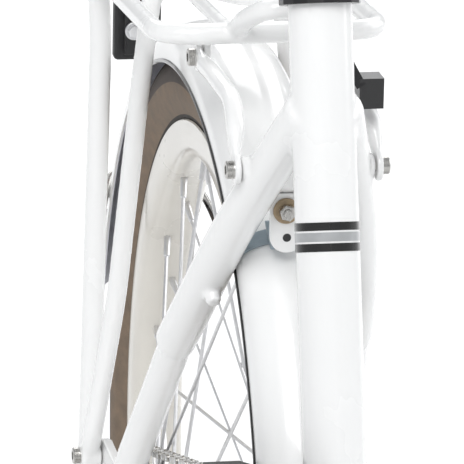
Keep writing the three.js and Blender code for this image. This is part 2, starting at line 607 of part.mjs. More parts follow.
function crankArm(side) {
  const end = pedalAt(side);
  const y = (d) => v(0, side * d, 0);
  const arm = rod(BB.clone().add(y(68)), end.clone().add(y(74)), 10, 8.5, 8);
  const boss = across(BB.x, BB.z, side * (side < 0 ? 58.8 : 56), side * 78, 15, 12);
  const eye = across(end.x, end.z, side * 68, side * 82, 12, 10);
  const parts = [arm, boss, eye];
  if (side < 0) {
    parts.push(across(BB.x, BB.z, -58.9, -CHAINLINE - 1.4 - GAP, 10.5, 12));
    for (let i = 0; i < 5; i += 1) {
      const a = THREE.MathUtils.degToRad(72 * i);
      const tip = v(BB.x + 48 * Math.cos(a), -44.5, BB.z + 48 * Math.sin(a));
      parts.push(rod(v(BB.x, -55.5, BB.z), tip, 5, 2.7, 8));
    }
  }
  return join(cut(join(...parts), across(BB.x, BB.z, side * 40, side * 74, 8.6, 8)), pedalSpindle(side));
}

function pedalSpindle(side) {
  const end = pedalAt(side);
  return join(across(end.x, end.z, side * 69, side * 155, 6.5, 12),
    across(end.x, end.z, side * 83, side * 88, 8.5, 6));
}

function pedalBody(side) {
  const end = pedalAt(side);
  const y = (d0, d1) => (side > 0 ? [d0, d1] : [-d1, -d0]);
  const body = block(end.x - 46, end.x + 46, ...y(90, 168), end.z - 11, end.z + 11);
  const windows = [[-38, -14], [14, 38]].map(([a, b]) =>
    block(end.x + a, end.x + b, ...y(98, 160), end.z - 20, end.z + 20));
  return cut(body, ...windows, across(end.x, end.z, side * 80, side * 157, 7, 12));
}

const spindle = join(across(BB.x, BB.z, -54, 54, 8, 12));
add("crank_spindle", join(spindle, across(BB.x, BB.z, -73, 73, 7.9, 8)), steel);
const cartridge = cut(across(BB.x, BB.z, -BB_HALF, BB_HALF, 16.6, 16), across(BB.x, BB.z, -40, 40, 8.4,
  12));
add("bottom_bracket_cartridge", cartridge, steel);
add("chainring", chainring(), steel);
for (const [name, side] of [["left", 1], ["right", -1]]) {
  add(`crank_arm_${name}`, crankArm(side), alloy);
  add(`pedal_${name}`, pedalBody(side), black);
}
add("rear_sprocket", cut(plate(toothed(0, WHEEL_RADIUS, SPROCKET_TEETH, SPROCKET_R),
  -CHAINLINE - 1.4, -CHAINLINE + 1.4), across(0, WHEEL_RADIUS, -60, -30, 9, 12)), steel);

// The loop round both toothed wheels: two arcs joined by the outer tangents.
function loopRoute(rearRadius, frontRadius, steps) {
  const dx = BB.x;
  const dz = BB.z - WHEEL_RADIUS;
  const slope = THREE.MathUtils.radToDeg(Math.atan2(dz, dx));
  const lean = THREE.MathUtils.radToDeg(Math.acos((frontRadius - rearRadius) / Math.hypot(dx, dz)));
  const rise = slope + 180 - lean;
  const front = arc(BB.x, BB.z, frontRadius, rise, slope + lean - 180, steps);
  const rear = arc(0, WHEEL_RADIUS, rearRadius, slope + lean - 180, rise - 360, Math.ceil(steps / 2));
  return { front, rear, rise };
}

// The chain's links are a band just outside the teeth, so that it clears them at every angle.
function chain() {
  const { front, rear } = loopRoute(SPROCKET_R + 4, RING_R + 4, 18);
  const outer = loopRoute(SPROCKET_R + 9, RING_R + 9, 18);
  const band = plate([...outer.front, ...outer.rear], -CHAINLINE - 4, -CHAINLINE + 4);
  return cut(band, plate([...front, ...rear], -CHAINLINE - 9, -CHAINLINE + 9));
}

// An L-section guard over the upper run; it stops short of the seatstay.
function chainGuard() {
  const { rise, rear } = loopRoute(44, 91, 12);
  const front = arc(BB.x, BB.z, 91, 12, rise, 9);
  const [topX, topZ] = front[front.length - 1];
  const [rearX, rearZ] = rear[rear.length - 1];
  const end = (BB.x - GUARD_LENGTH - topX) / (rearX - topX);
  const route = [...front, [topX + (rearX - topX) * end, topZ + (rearZ - topZ) * end]];
  const lip = CHAINLINE - 9;
  const face = CHAINLINE + 9;
  const outline = [[lip, 0], [face, 0], [face, -24], [face - 1.6, -24], [face - 1.6, -1.6], [lip, -1.6]];
  const arm = (degrees) => {
    const a = THREE.MathUtils.degToRad(degrees);
    const point = (r) => v(BB.x + r * Math.cos(a), -31.2, BB.z + r * Math.sin(a));
    return rod(point(22), point(90.5), 2, 2, 6);
  };
  const collar = sleeve(BB.x, BB.z, -33.4, -29, 24, 20.6 + GAP, 12);
  return join(sweep(outline, route.map(([x, z]) => v(x, 0, z))), arm(42), arm(80), collar);
}

add("chain", chain(), steel);
add("chain_guard", chainGuard(), black);

// ---- Kickstand, on the left chainstay ----
const STAND_PIVOT = v(126, 70, 244);
const STAND_AXIS = v(-0.1247, 0.9855, 0.1155);
const STAND_FOOT = v(112, 174, 0);

function kickstandLeg() {
  const foot = STAND_FOOT;
  const hub = rod(STAND_PIVOT.clone().addScaledVector(STAND_AXIS, -5),
    STAND_PIVOT.clone().addScaledVector(STAND_AXIS, 7),
    10, 10, 12);
  const leg = tube([STAND_PIVOT.clone(), v(125, 86, 205), v(foot.x, foot.y - 3, foot.z + 12)], 6.5, 30,
    8, 2);
  const pad = block(foot.x - 17, foot.x + 17, foot.y - 14, foot.y + 12, 0, 5);
  const ankle = rod(v(foot.x, foot.y - 2, 3), v(foot.x, foot.y - 9, 26), 9, 8, 8);
  return join(leg, hub, pad, cut(ankle, block(foot.x - 30, foot.x + 30, foot.y - 40, foot.y + 40, -20, 0)));
}

// The bracket grips the chainstay and carries the leg's pivot on its outer face.
function kickstandMount() {
  const stay = (radius) => tube(stayPath(CHAINSTAY_PATH, 1), radius, 25, 8, 2);
  const grip = block(114, 138, 34, 58, 252, 276);
  const cheek = block(117, 135, 50, 63.4, 236, 256);
  return cut(join(grip, cheek), stay(CHAINSTAY_RADIUS + GAP));
}
add("kickstand_bracket", kickstandMount(), steel);
add("kickstand_leg", kickstandLeg(), alloy);

// ---- Front frame, hinge and latch ----
function frontFlange() {
  const x0 = HINGE.x + FLANGE_GAP;
  const face = block(x0, x0 + FLANGE_THICK, -28, HINGE.y - 10.2, HINGE.z - 33, HINGE.z + 33);
  const bridge = block(x0, x0 + FLANGE_THICK, HINGE.y - 11, HINGE.y, HINGE.z - 15, HINGE.z + 15);
  const barrel = rod(hingePoint(-15), hingePoint(15), 9);
  return cut(join(face, bridge, barrel), block(HINGE.x - 12, x0, -40, HINGE.y - 9.5, HINGE.z - 40,
    HINGE.z + 40));
}

const BEAM_CURVE = new THREE.QuadraticBezierCurve3(v(HINGE.x + 4, 0, HINGE.z), v(700, 0, 328),
  onSteer(362));

// The latch lever pivots on the front flange and hooks over the rear one, on the right side.
const LATCH = v(HINGE.x + 17, -36, HINGE.z);
function latchEars() {
  const ears = both((s) => block(LATCH.x - 6, LATCH.x + 6, -42, -28, LATCH.z + (s > 0 ? 10.4 : -15),
    LATCH.z + (s > 0 ? 15 : -10.4)));
  const base = block(HINGE.x + FLANGE_GAP + FLANGE_THICK - 1, LATCH.x + 6, -28.5, -25.6, LATCH.z - 15,
    LATCH.z + 15);
  return join(base, ...ears);
}

function frontFrame() {
  const beam = sweep(ring(BEAM_RADIUS, 14), BEAM_CURVE.getPoints(9));
  const head = rod(onSteer(HEAD_LOW), onSteer(HEAD_HIGH), HEAD_RADIUS, HEAD_RADIUS, 16);
  const body = join(beam, head, frontFlange(), latchEars());
  const headBore = rod(onSteer(HEAD_LOW - 5), onSteer(HEAD_HIGH + 5), 14.6, 14.6, 14);
  const pinBore = rod(hingePoint(-40), hingePoint(40), 4.3, 4.3, 12);
  const crownRoom = rod(onSteer(282), onSteer(HEAD_LOW), 24, 24, 12);
  const plane = block(HINGE.x - 30, HINGE.x + FLANGE_GAP, -60, HINGE.y - 9.5, 200, 400);
  const hollow = rod(v(HINGE.x, 0, HINGE.z + 0.5), v(HINGE.x + 45, 0, HINGE.z + 5.5), 22, 22, 12);
  return cut(body, headBore, pinBore, plane, hollow, crownRoom);
}

const pin = join(rod(hingePoint(-36), hingePoint(36), 4, 4, 12), rod(hingePoint(33.3), hingePoint(37), 7,
  7, 12));
add("front_frame", frontFrame(), white);
add("frame_hinge_pin", pin, steel);

function frameLatch() {
  const barrel = rod(v(LATCH.x, LATCH.y, LATCH.z - 10), v(LATCH.x, LATCH.y, LATCH.z + 10), 6.5, 6.5, 12);
  const arm = plate([[LATCH.x, LATCH.z - 9], [LATCH.x, LATCH.z + 9], [LATCH.x + 104, LATCH.z + 15],
    [LATCH.x + 110, LATCH.z + 3]],
    -41, -35);
  return join(barrel, arm);
}
add("frame_latch_lever", frameLatch(), black);

// ---- Fork and headset ----
function fork() {
  const crown = rod(onSteer(CROWN_AT, 2, -44), onSteer(CROWN_AT, 2, 44), 13, 13, 10);
  const steerer = rod(onSteer(CROWN_AT), onSteer(POST_HINGE - 8), 12.7, 12.7, 12);
  const legs = both((s) => tube([onSteer(CROWN_AT, 2, s * 40), onSteer(190, 4, s * 46),
    onSteer(70, 12, s * FORK_HALF), v(WHEELBASE - 3, s * FORK_HALF, 264)], 11, 60, 12, 4));
  const ends = both((s) => plate([[WHEELBASE - 16, 272], [WHEELBASE + 10, 272], [WHEELBASE + 14, 246],
    [WHEELBASE + 6, 234], [WHEELBASE - 12, 234], [WHEELBASE - 20, 250]], s > 0 ? 47.5 : -52.5,
      s > 0 ? 52.5 : -47.5));
  const bosses = both((s) =>
    rod(onSteer(BRAKE_PIVOT, 2, s * 45.7), onSteer(BRAKE_PIVOT, 31, s * 44.2), 5, 5, 10));
  const slots = both((s) => join(across(WHEELBASE, WHEEL_RADIUS, s * 40, s * 60, 4.9, 12),
    block(WHEELBASE - 4.9, WHEELBASE + 4.9, s > 0 ? 36 : -64, s > 0 ? 64 : -36, 225, WHEEL_RADIUS)));
  return cut(join(crown, steerer, ...legs, ...ends, ...bosses), ...slots);
}

// Two cups and the dust sleeve that joins them inside the head tube.
function headset() {
  const lower = rod(onSteer(314), onSteer(HEAD_LOW - GAP), 19, 19, 14);
  const upper = rod(onSteer(HEAD_HIGH + GAP), onSteer(STEM_LOW - GAP), 19, 19, 14);
  const sleeveTube = rod(onSteer(315), onSteer(HEAD_HIGH + 2), 14.3, 14.3, 14);
  return cut(join(lower, upper, sleeveTube), rod(onSteer(300), onSteer(STEM_LOW + 5), 13.5, 13.5, 12));
}

add("fork", fork(), white);
add("headset", headset(), steel);

// ---- Front brake ----
function brakeArmFront(side) {
  const at = (along, ahead, y) => onSteer(along, ahead, side * y);
  const foot = rod(at(BRAKE_PIVOT, 17.5, 44.4), at(BRAKE_PIVOT, 29, 44), 8, 8, 12);
  const blade = tube([at(BRAKE_PIVOT, 23, 44.2), at(200, 23, 44), at(245, 23, 40), at(284, 23, 32)], 5,
    20, 6, 2);
  const padArm = rod(at(190, 23, 44), at(190, 23, 24), 3.4, 3.4, 8);
  const pad = rod(at(188.1, 3, 21.8), at(191.9, 41, 21.8), 5.4, 5.4, 8);
  const pivotHole = rod(at(BRAKE_PIVOT, 0, 45.8), at(BRAKE_PIVOT, 45, 43.6), 5.3, 5.3, 10);
  return cut(join(foot, blade, padArm, pad), pivotHole);
}
add("front_brake_arm_left", brakeArmFront(1), alloy);
add("front_brake_arm_right", brakeArmFront(-1), alloy);

// ---- Folding handlepost ----
const POST_PIVOT_OUT = 31; // from the steering axis to the pin, forward and to the right
const diagonal = Math.SQRT1_2;
const postPivot = onSteer(POST_HINGE, POST_PIVOT_OUT * diagonal, -POST_PIVOT_OUT * diagonal);
const postPinAlong = tiltForward.clone().multiplyScalar(diagonal).add(v(0, diagonal, 0));
const alongPin = (centre, d) => centre.clone().addScaledVector(postPinAlong, d);

function postKnuckle(from, to) {
  return rod(alongPin(postPivot, from), alongPin(postPivot, to), 8, 8, 12);
}

function stemBase() {
  const body = rod(onSteer(STEM_LOW), onSteer(POST_HINGE - 7), 19, 22, 14);
  const flange = rod(onSteer(POST_HINGE - 7), onSteer(POST_HINGE - GAP), 27, 27, 14);
  const knuckles = [postKnuckle(-22, -8.5), postKnuckle(8.5, 22)];
  const room = postKnuckle(-8.2, 8.2);
  const clear = rod(onSteer(POST_HINGE - GAP), onSteer(POST_HINGE + 30), 27.6, 27.6, 14);
  const boreHole = rod(onSteer(STEM_LOW - 5), onSteer(POST_HINGE - 7.5), 13, 13, 12);
  const cutRoom = rod(alongPin(postPivot, -8.2), alongPin(postPivot, 8.2), 8.6, 8.6, 12);
  const pinShank = rod(alongPin(postPivot, -24), alongPin(postPivot, 24), 3, 3, 8);
  return join(cut(join(body, flange, ...knuckles), room, clear, boreHole, cutRoom), pinShank);
}

function handlepost() {
  const flange = rod(onSteer(POST_HINGE + GAP), onSteer(POST_HINGE + 7), 27, 27, 14);
  const socket = rod(onSteer(POST_HINGE + 6), onSteer(POST_HINGE + 34), 23, 18.5, 14);
  const post = rod(onSteer(POST_HINGE + 20), onSteer(BAR_AT - 12), 16, 16, 14);
  const stem = rod(onSteer(BAR_AT, 0, -24), onSteer(BAR_AT, 0, 24), 17.5, 17.5, 12);
  const neck = postKnuckle(-8, 8);
  const sideRoom = [rod(alongPin(postPivot, -40), alongPin(postPivot, -8.1), 8.7, 8.7, 12),
    rod(alongPin(postPivot, 8.1), alongPin(postPivot, 40), 8.7, 8.7, 12)];
  const pinHole = rod(alongPin(postPivot, -30), alongPin(postPivot, 30), 3.3, 3.3, 8);
  const barHole = rod(onSteer(BAR_AT, 0, -30), onSteer(BAR_AT, 0, 30), 11.4 + GAP, 11.4 + GAP, 12);
  const below = rod(onSteer(POST_HINGE - 30), onSteer(POST_HINGE + GAP), 22, 22, 14);
  return cut(join(flange, socket, post, stem, neck), ...sideRoom, pinHole, barHole, below);
}

add("stem_base", stemBase(), black);
add("handlepost", handlepost(), white);

// The safety lever opposite the pin: it pivots on the base and closes over both flanges.
const leverOut = tiltForward.clone().multiplyScalar(-diagonal).add(v(0, diagonal, 0));
const leverAt = (out, up) => onSteer(POST_HINGE + up).addScaledVector(leverOut, out);
function handlepostLever() {
  const hub = rod(alongPin(leverAt(34, -12), -7), alongPin(leverAt(34, -12), 7), 5.5, 5.5, 12);
  const strap = tube([leverAt(34, -12), leverAt(34, 18), leverAt(30, 60), leverAt(27, 84)], 4.6, 14, 8, 3);
  return join(hub, strap);
}
add("handlepost_latch_lever", handlepostLever(), black);

// ---- Handlebar and its fittings ----
const BAR_RADIUS = 11.1;
const BAR_HALF = 290;
const barPoint = (y, back, rise) => onSteer(BAR_AT + rise, -back, y);
const barRoute = [barPoint(-BAR_HALF, 62, 26), barPoint(-112, 24, 22), barPoint(-50, 0, 0),
  barPoint(50, 0, 0), barPoint(112, 24, 22), barPoint(BAR_HALF, 62, 26)];
const barSide = (side, d) => {
  const inner = barRoute[side > 0 ? 4 : 1];
  const outer = barRoute[side > 0 ? 5 : 0];
  return inner.clone().lerp(outer, d);
};
const onBar = (side, d, back, up) => barSide(side, d)
  .addScaledVector(tiltUp, up).addScaledVector(tiltForward, -back);

function grip(side) {
  const body = rod(barSide(side, 0.38), barSide(side, 1.03), 15.5, 16.5, 10);
  const bore = rod(barSide(side, 0.3), barSide(side, 1.005), BAR_RADIUS + GAP + 0.1,
    BAR_RADIUS + GAP + 0.1, 12);
  return cut(body, bore);
}

function barClamp(side, d0, d1) {
  return cut(rod(barSide(side, d0), barSide(side, d1), 16, 16, 10),
    rod(barSide(side, d0 - 0.05), barSide(side, d1 + 0.05), BAR_RADIUS + GAP + 0.1,
      BAR_RADIUS + GAP + 0.1, 12));
}

const LEVER_PIVOT = onBar(-1, 0.24, -30, -6);
function leverBracket() {
  const arm = rod(onBar(-1, 0.24, -14, -2), onBar(-1, 0.24, -25, -4), 6, 6, 8);
  const plates = [1, -1].map((s) => rod(
    LEVER_PIVOT.clone().addScaledVector(tiltUp, s * 5), LEVER_PIVOT.clone().addScaledVector(tiltUp,
      s * 8), 8, 8, 12));
  const web = rod(onBar(-1, 0.24, -21, 2), onBar(-1, 0.24, -21, -14), 6, 6, 8);
  return cut(join(barClamp(-1, 0.19, 0.29), arm, web, ...plates),
    rod(LEVER_PIVOT.clone().addScaledVector(tiltUp, -4.8), LEVER_PIVOT.clone().addScaledVector(tiltUp,
      4.8), 9, 9, 12));
}

function brakeLever() {
  const hub = rod(LEVER_PIVOT.clone().addScaledVector(tiltUp, -4),
    LEVER_PIVOT.clone().addScaledVector(tiltUp, 4), 7, 7, 12);
  const blade = tube([LEVER_PIVOT.clone(), onBar(-1, 0.36, -50, -6), onBar(-1, 0.6, -54, -6), onBar(-1,
    0.92, -60, -6)],
    4, 30, 8, 3);
  return join(hub, blade);
}

const BELL = onBar(1, 0.24, 0, 30);
function bellDome() {
  const dome = new THREE.LatheGeometry([[0, 20], [9, 18], [17, 12], [22, 3], [23, 0], [20.5, 0], [15, 10.5],
    [8, 15.8], [0, 17.5]].map(([r, h]) => new THREE.Vector2(r, h)), 12);
  dome.applyQuaternion(new THREE.Quaternion().setFromUnitVectors(v(0, 1, 0), tiltUp));
  return solid(dome.translate(BELL.x, BELL.y, BELL.z));
}

function bellBase() {
  const post = rod(BELL.clone().addScaledVector(tiltUp, -17), BELL.clone().addScaledVector(tiltUp, -6.5),
    8, 12, 12);
  const pillar = rod(BELL.clone().addScaledVector(tiltUp, -8), BELL.clone().addScaledVector(tiltUp, 19),
    3, 3, 8);
  return join(barClamp(1, 0.2, 0.28), cut(post, rod(barSide(1, 0.1), barSide(1, 0.4), 12, 12, 10)), pillar);
}

const BELL_PIVOT = BELL.clone().addScaledVector(tiltUp, -3.2);
function bellLever() {
  const hub = cut(rod(BELL_PIVOT.clone().addScaledVector(tiltUp, -1.8),
    BELL_PIVOT.clone().addScaledVector(tiltUp, 1.8), 8, 8, 12),
    rod(BELL_PIVOT.clone().addScaledVector(tiltUp, -4), BELL_PIVOT.clone().addScaledVector(tiltUp, 4),
      3.4, 3.4, 8));
  const tip = BELL_PIVOT.clone().addScaledVector(tiltForward, -34).add(v(0, 8, 0));
  const thumb = rod(BELL_PIVOT.clone().addScaledVector(tiltForward, -6), tip, 1.7, 1.7, 8);
  const pad = rod(tip.clone().addScaledVector(tiltUp, -3), tip.clone().addScaledVector(tiltUp, 5), 5, 5, 8);
  return join(hub, thumb, pad);
}

add("handlebar", tube(barRoute, BAR_RADIUS, 26, 14, 3), alloy);
add("grip_left", grip(1), brown);
add("grip_right", grip(-1), brown);
add("brake_lever_bracket", leverBracket(), black);
add("brake_lever", brakeLever(), alloy);
add("bell", join(bellBase(), bellDome()), steel);
add("bell_lever", bellLever(), black);

export default bicycle;
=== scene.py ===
"""The folding bicycle's finished surfaces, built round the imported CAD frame."""

import math

import bmesh
import bpy
from mathutils import Matrix, Vector


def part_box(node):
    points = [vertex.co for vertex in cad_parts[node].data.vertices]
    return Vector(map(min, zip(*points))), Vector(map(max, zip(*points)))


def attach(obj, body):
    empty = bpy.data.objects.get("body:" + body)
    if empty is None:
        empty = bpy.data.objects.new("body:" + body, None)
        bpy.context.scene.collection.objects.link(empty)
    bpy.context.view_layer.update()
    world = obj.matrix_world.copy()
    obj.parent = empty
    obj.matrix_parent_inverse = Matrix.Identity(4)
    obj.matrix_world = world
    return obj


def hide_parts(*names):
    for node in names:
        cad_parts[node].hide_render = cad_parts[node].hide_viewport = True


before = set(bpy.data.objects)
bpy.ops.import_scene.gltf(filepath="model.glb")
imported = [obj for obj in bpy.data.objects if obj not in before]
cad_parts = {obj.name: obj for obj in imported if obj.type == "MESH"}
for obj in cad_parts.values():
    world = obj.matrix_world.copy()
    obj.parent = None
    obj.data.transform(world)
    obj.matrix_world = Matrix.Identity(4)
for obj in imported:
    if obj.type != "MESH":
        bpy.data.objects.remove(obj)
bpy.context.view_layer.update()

# Lengths are in millimetres, +X is ahead, +Y is left, and the rear axle stands over the origin.
MM = 0.001
REAR = "rear_assembly"
STEERING = "steering"

AXLE_Z = 250.0
WHEELBASE = 970.0
TILT = math.radians(16.7)  # the seat tube and the head tube lean back by this
UP = Vector((-math.sin(TILT), 0, math.cos(TILT)))
AHEAD = Vector((math.cos(TILT), 0, math.sin(TILT)))
BB = Vector((312, 0, 285))
STEER = Vector((928, 0, AXLE_Z))
HINGE = Vector((452, 40, 301))

SEAT_TUBE_RADIUS = 15.4
SEAT_TUBE_LENGTH = 336
STRIPE_Z = 477

FENDER_HALF = 23.6
FENDER_LIP = 240.0
FENDER_RISE = 20.4
FENDER_SKIN = 1.6
LINING_SKIN = 0.5
# The black line along each fender lip is painted shadow: the dark gap between the lip and the tyre, drawn as
# a thin black tube.
SHADOW_LINE_RADIUS = 1.3
SHADOW_LINE_END = 125  # degrees; the black line of painted shadow runs from the front end to just past the top

RIM_INNER = 189.0
SPOKES = 36
SPOKE_RADIUS = 1.0
SPOKE_WEAVE = 1.4  # how far a spoke sits outside or inside its flange's middle
NIPPLE_LENGTH = 12

RACK_TUBE = 5.2
RACK_HALF = 56.5
RACK_FRONT = 109.0
RACK_REAR = -228.0

CHAIN_Y = -40.0
CHAIN_LINKS = 78
PITCH = 12.7
SPROCKET_TEETH = 16
CHAINRING_TEETH = 38
CHAIN_LIFT = 6.5  # from the teeth's pitch circle out to the chain's route


# ---- Materials ----
COAT_ROUGHNESS = 0.06
GLOSS_SPREAD = 0.2
GRIT_HEIGHT = 0.0006  # metres


def noise(material, mapping, scale, detail):
    """A noise texture's output, on mapped object coordinates."""
    texture = material.node_tree.nodes.new("ShaderNodeTexNoise")
    texture.inputs["Scale"].default_value = scale
    texture.inputs["Detail"].default_value = detail
    material.node_tree.links.new(mapping.outputs["Vector"], texture.inputs["Vector"])
    return texture.outputs["Fac"]


def surface(name, colour, roughness, metallic=0.0, spread=0.04, grain=60.0, bump=0.05, coat=0.0,
            stretch=(1, 1, 1), fine=900.0):
    """A paint, metal or moulding whose colour, gloss and height all vary a little."""
    material = bpy.data.materials.new(name)
    material.use_nodes = True
    nodes, links = material.node_tree.nodes, material.node_tree.links
    shader = nodes["Principled BSDF"]
    shader.inputs["Metallic"].default_value = metallic
    shader.inputs["Coat Weight"].default_value = coat
    shader.inputs["Coat Roughness"].default_value = COAT_ROUGHNESS
    place = nodes.new("ShaderNodeTexCoord")
    mapping = nodes.new("ShaderNodeMapping")
    mapping.inputs["Scale"].default_value = stretch
    links.new(place.outputs["Object"], mapping.inputs["Vector"])
    cloud = noise(material, mapping, grain, 5)
    tone = nodes.new("ShaderNodeValToRGB")
    tone.color_ramp.elements[0].position = 0.3
    tone.color_ramp.elements[1].position = 0.7
    tone.color_ramp.elements[0].color = [c * (1 - spread) for c in colour] + [1]
    tone.color_ramp.elements[1].color = [min(1, c * (1 + spread)) for c in colour] + [1]
    links.new(cloud, tone.inputs["Fac"])
    links.new(tone.outputs["Color"], shader.inputs["Base Color"])
    gloss = nodes.new("ShaderNodeMapRange")
    gloss.inputs["To Min"].default_value = roughness * (1 - GLOSS_SPREAD)
    gloss.inputs["To Max"].default_value = min(1, roughness * (1 + GLOSS_SPREAD))
    links.new(cloud, gloss.inputs["Value"])
    links.new(gloss.outputs["Result"], shader.inputs["Roughness"])
    grit = noise(material, mapping, fine, 3)
    height = nodes.new("ShaderNodeBump")
    height.inputs["Strength"].default_value = bump
    height.inputs["Distance"].default_value = GRIT_HEIGHT
    links.new(grit, height.inputs["Height"])
    links.new(height.outputs["Normal"], shader.inputs["Normal"])
    return material


def cellular(material, scale, strength, distance=0.0004):
    """Swaps the fine noise in the height for cells, as in leather grain or a prismatic lens."""
    nodes, links = material.node_tree.nodes, material.node_tree.links
    cells = nodes.new("ShaderNodeTexVoronoi")
    cells.inputs["Scale"].default_value = scale
    links.new(nodes["Mapping"].outputs["Vector"], cells.inputs["Vector"])
    height = nodes["Bump"]
    height.inputs["Strength"].default_value = strength
    height.inputs["Distance"].default_value = distance
    links.new(cells.outputs["Distance"], height.inputs["Height"])
    return material


WHITE = surface("white_enamel", (0.88, 0.88, 0.876), 0.26, spread=0.006, grain=14, bump=0.035, coat=0.8)
# The pale lilac tint on the fenders' inner face is painted shade.
FENDER_INSIDE_SHADE_TINT = surface("fender_underside_painted_shade", (0.84, 0.85, 0.92), 0.45, spread=0.05, grain=40, bump=0.1)
STEEL = surface("bright_steel", (0.5, 0.49, 0.47), 0.27, 1.0, 0.08, 90, 0.08, stretch=(1, 6, 1))
ALLOY = surface("silver_alloy", (0.74, 0.74, 0.75), 0.34, 1.0, 0.06, 70, 0.08, stretch=(1, 1, 5))
ZINC = surface("zinc_plate", (0.3, 0.36, 0.4), 0.42, 0.55, 0.2, 55, 0.12)
# Black enamel for the black parts; it also colours the disc in the strap tab's hole, which is painted shade.
BLACK = surface("black_enamel_and_hole_shade", (0.008, 0.008, 0.009), 0.32, spread=0.3, grain=50, bump=0.08, coat=0.3)
PLASTIC = surface("black_plastic", (0.012, 0.012, 0.013), 0.52, spread=0.25, grain=80, bump=0.3)
CREAM = surface("cream_enamel", (0.74, 0.71, 0.65), 0.28, spread=0.05, grain=18, bump=0.05, coat=0.6)
TAN = surface("tan_washer", (0.36, 0.27, 0.17), 0.6, spread=0.15, grain=200, bump=0.2)
SILVER_FILM = surface("silver_film", (0.42, 0.43, 0.44), 0.35, 0.3, 0.05, 200, 0.05, coat=0.6)
# Black film for the seat tube's stripes; it also colours the fenders' black lip line, which is painted
# shadow.
BLACK_FILM_AND_SHADOW_LINE = surface("black_film_and_shadow_line", (0.004, 0.004, 0.004), 0.25, spread=0.2, grain=150, bump=0.04, coat=0.6)
LEATHER = cellular(surface("brown_leather", (0.2, 0.095, 0.045), 0.5, spread=0.3, grain=35), 900, 0.5)
LENS = cellular(surface("red_lens", (0.45, 0.01, 0.015), 0.18, spread=0.1, coat=0.8), 350, 0.8, 0.001)
STITCH = surface("stitching", (0.5, 0.4, 0.28), 0.8, spread=0.2, grain=500, bump=0.4)
SIDEWALL = surface("brown_sidewall", (0.19, 0.137, 0.094), 0.7, spread=0.2, grain=120, bump=0.35, fine=1500)
# Dark tread rubber, also painted shade over the shoulder under the fender; the next is a dark band of painted
# shadow where the tyre meets the rim.
OUTER_RUBBER_AND_SHADE = surface("tread_rubber_and_painted_shade", (0.09, 0.074, 0.066), 0.8, spread=0.2, grain=150, bump=0.5, fine=1300)
RIM_SHADOW_BAND = surface("bead_painted_shadow", (0.03, 0.024, 0.02), 0.75, spread=0.2, grain=150, bump=0.3)
FLOOR = surface("pale_floor", (0.9, 0.9, 0.9), 0.7, spread=0.006, grain=3, bump=0.01)


# ---- Mesh building, in millimetres ----
def v(x, y, z):
    return Vector((x, y, z))


def on_seat(along, ahead=0, side=0):
    """A point measured along the seat tube from the bottom bracket."""
    return BB + UP * along + AHEAD * ahead + v(0, side, 0)


def on_steer(along, ahead=0, side=0):
    """A point measured along the steering axis from the height of the axles."""
    return STEER + UP * along + AHEAD * ahead + v(0, side, 0)


def rounded(points, radius, steps=8):
    """A polyline whose corners are rounded, as a bent tube's are."""
    points = [Vector(p) for p in points]
    made = [points[0]]
    for a, b, c in zip(points, points[1:], points[2:]):
        reach = min(radius, (a - b).length * 0.48, (c - b).length * 0.48)
        start = b + (a - b).normalized() * reach
        end = b + (c - b).normalized() * reach
        for step in range(steps + 1):
            t = step / steps
            made.append(start * (1 - t) ** 2 + b * 2 * t * (1 - t) + end * t * t)
    made.append(points[-1])
    return made


def skin(bm, rings, closed=False):
    """Joins rings of points with quads, and either joins the two ends or caps them."""
    loops = [[bm.verts.new(p * MM) for p in ring] for ring in rings]
    pairs = list(zip(loops, loops[1:])) + ([(loops[-1], loops[0])] if closed else [])
    for low, high in pairs:
        for i in range(len(low)):
            j = (i + 1) % len(low)
            bm.faces.new((low[i], low[j], high[j], high[i]))
    if not closed:
        bm.faces.new(list(reversed(loops[0])))
        bm.faces.new(loops[-1])


def frames(path):
    """Each point of a path with two directions across it that never twist."""
    last = len(path) - 1
    tangents = [(path[min(i + 1, last)] - path[max(i - 1, 0)]).normalized() for i in range(last + 1)]
    seed = v(0, 1, 0) if abs(tangents[0].y) < 0.9 else v(1, 0, 0)
    side = (seed - tangents[0] * seed.dot(tangents[0])).normalized()
    made = []
    for point, tangent in zip(path, tangents):
        side = (side - tangent * side.dot(tangent)).normalized()
        made.append((point, side, tangent.cross(side)))
    return made


def oval(place, width, height, sides=28):
    """A ring of points round one place on a path, given as a point and two directions."""
    point, side, other = place
    turn = [2 * math.pi * i / sides for i in range(sides)]
    return [point + side * (width * math.cos(a)) + other * (height * math.sin(a)) for a in turn]


def tube(bm, path, radius, sides=28):
    """A round tube along a path; radius is one number or one for each point."""
    radii = radius if isinstance(radius, list) else [radius] * len(path)
    skin(bm, [oval(place, r, r, sides) for place, r in zip(frames(path), radii)])


def bar(bm, start, end, radius, end_radius=None, sides=28, soft=0.4):
    """A straight bar with softened rims."""
    end_radius = radius if end_radius is None else end_radius
    along = (end - start).normalized()
    path = [start, start + along * soft, end - along * soft, end]
    tube(bm, path, [radius - soft, radius, end_radius, end_radius - soft], sides)


def hex_bolt(bm, at, direction, size, height, socket=True):
    """A cap bolt: a round head with a hexagonal hollow, or a six-sided head."""
    direction = direction.normalized()
    side = direction.orthogonal().normalized()
    other = direction.cross(side)
    count = 24
    chamfer = 0.5
    hollow_depth = 2.4

    def ring(radius, depth, corners=0):
        made = []
        for i in range(count):
            a = 2 * math.pi * i / count
            r = radius
            if corners:
                within = (a % (2 * math.pi / corners)) - math.pi / corners
                r = radius * math.cos(math.pi / corners) / math.cos(within)
            made.append(at + side * (r * math.cos(a)) + other * (r * math.sin(a)) + direction * depth)
        return made

    outer = 0 if socket else 6
    rings = [ring(size, 0, outer), ring(size, height - chamfer, outer), ring(size - chamfer, height, outer)]
    if socket:
        rings += [ring(size * 0.58, height, 6), ring(size * 0.55, height - hollow_depth, 6)]
    skin(bm, rings)


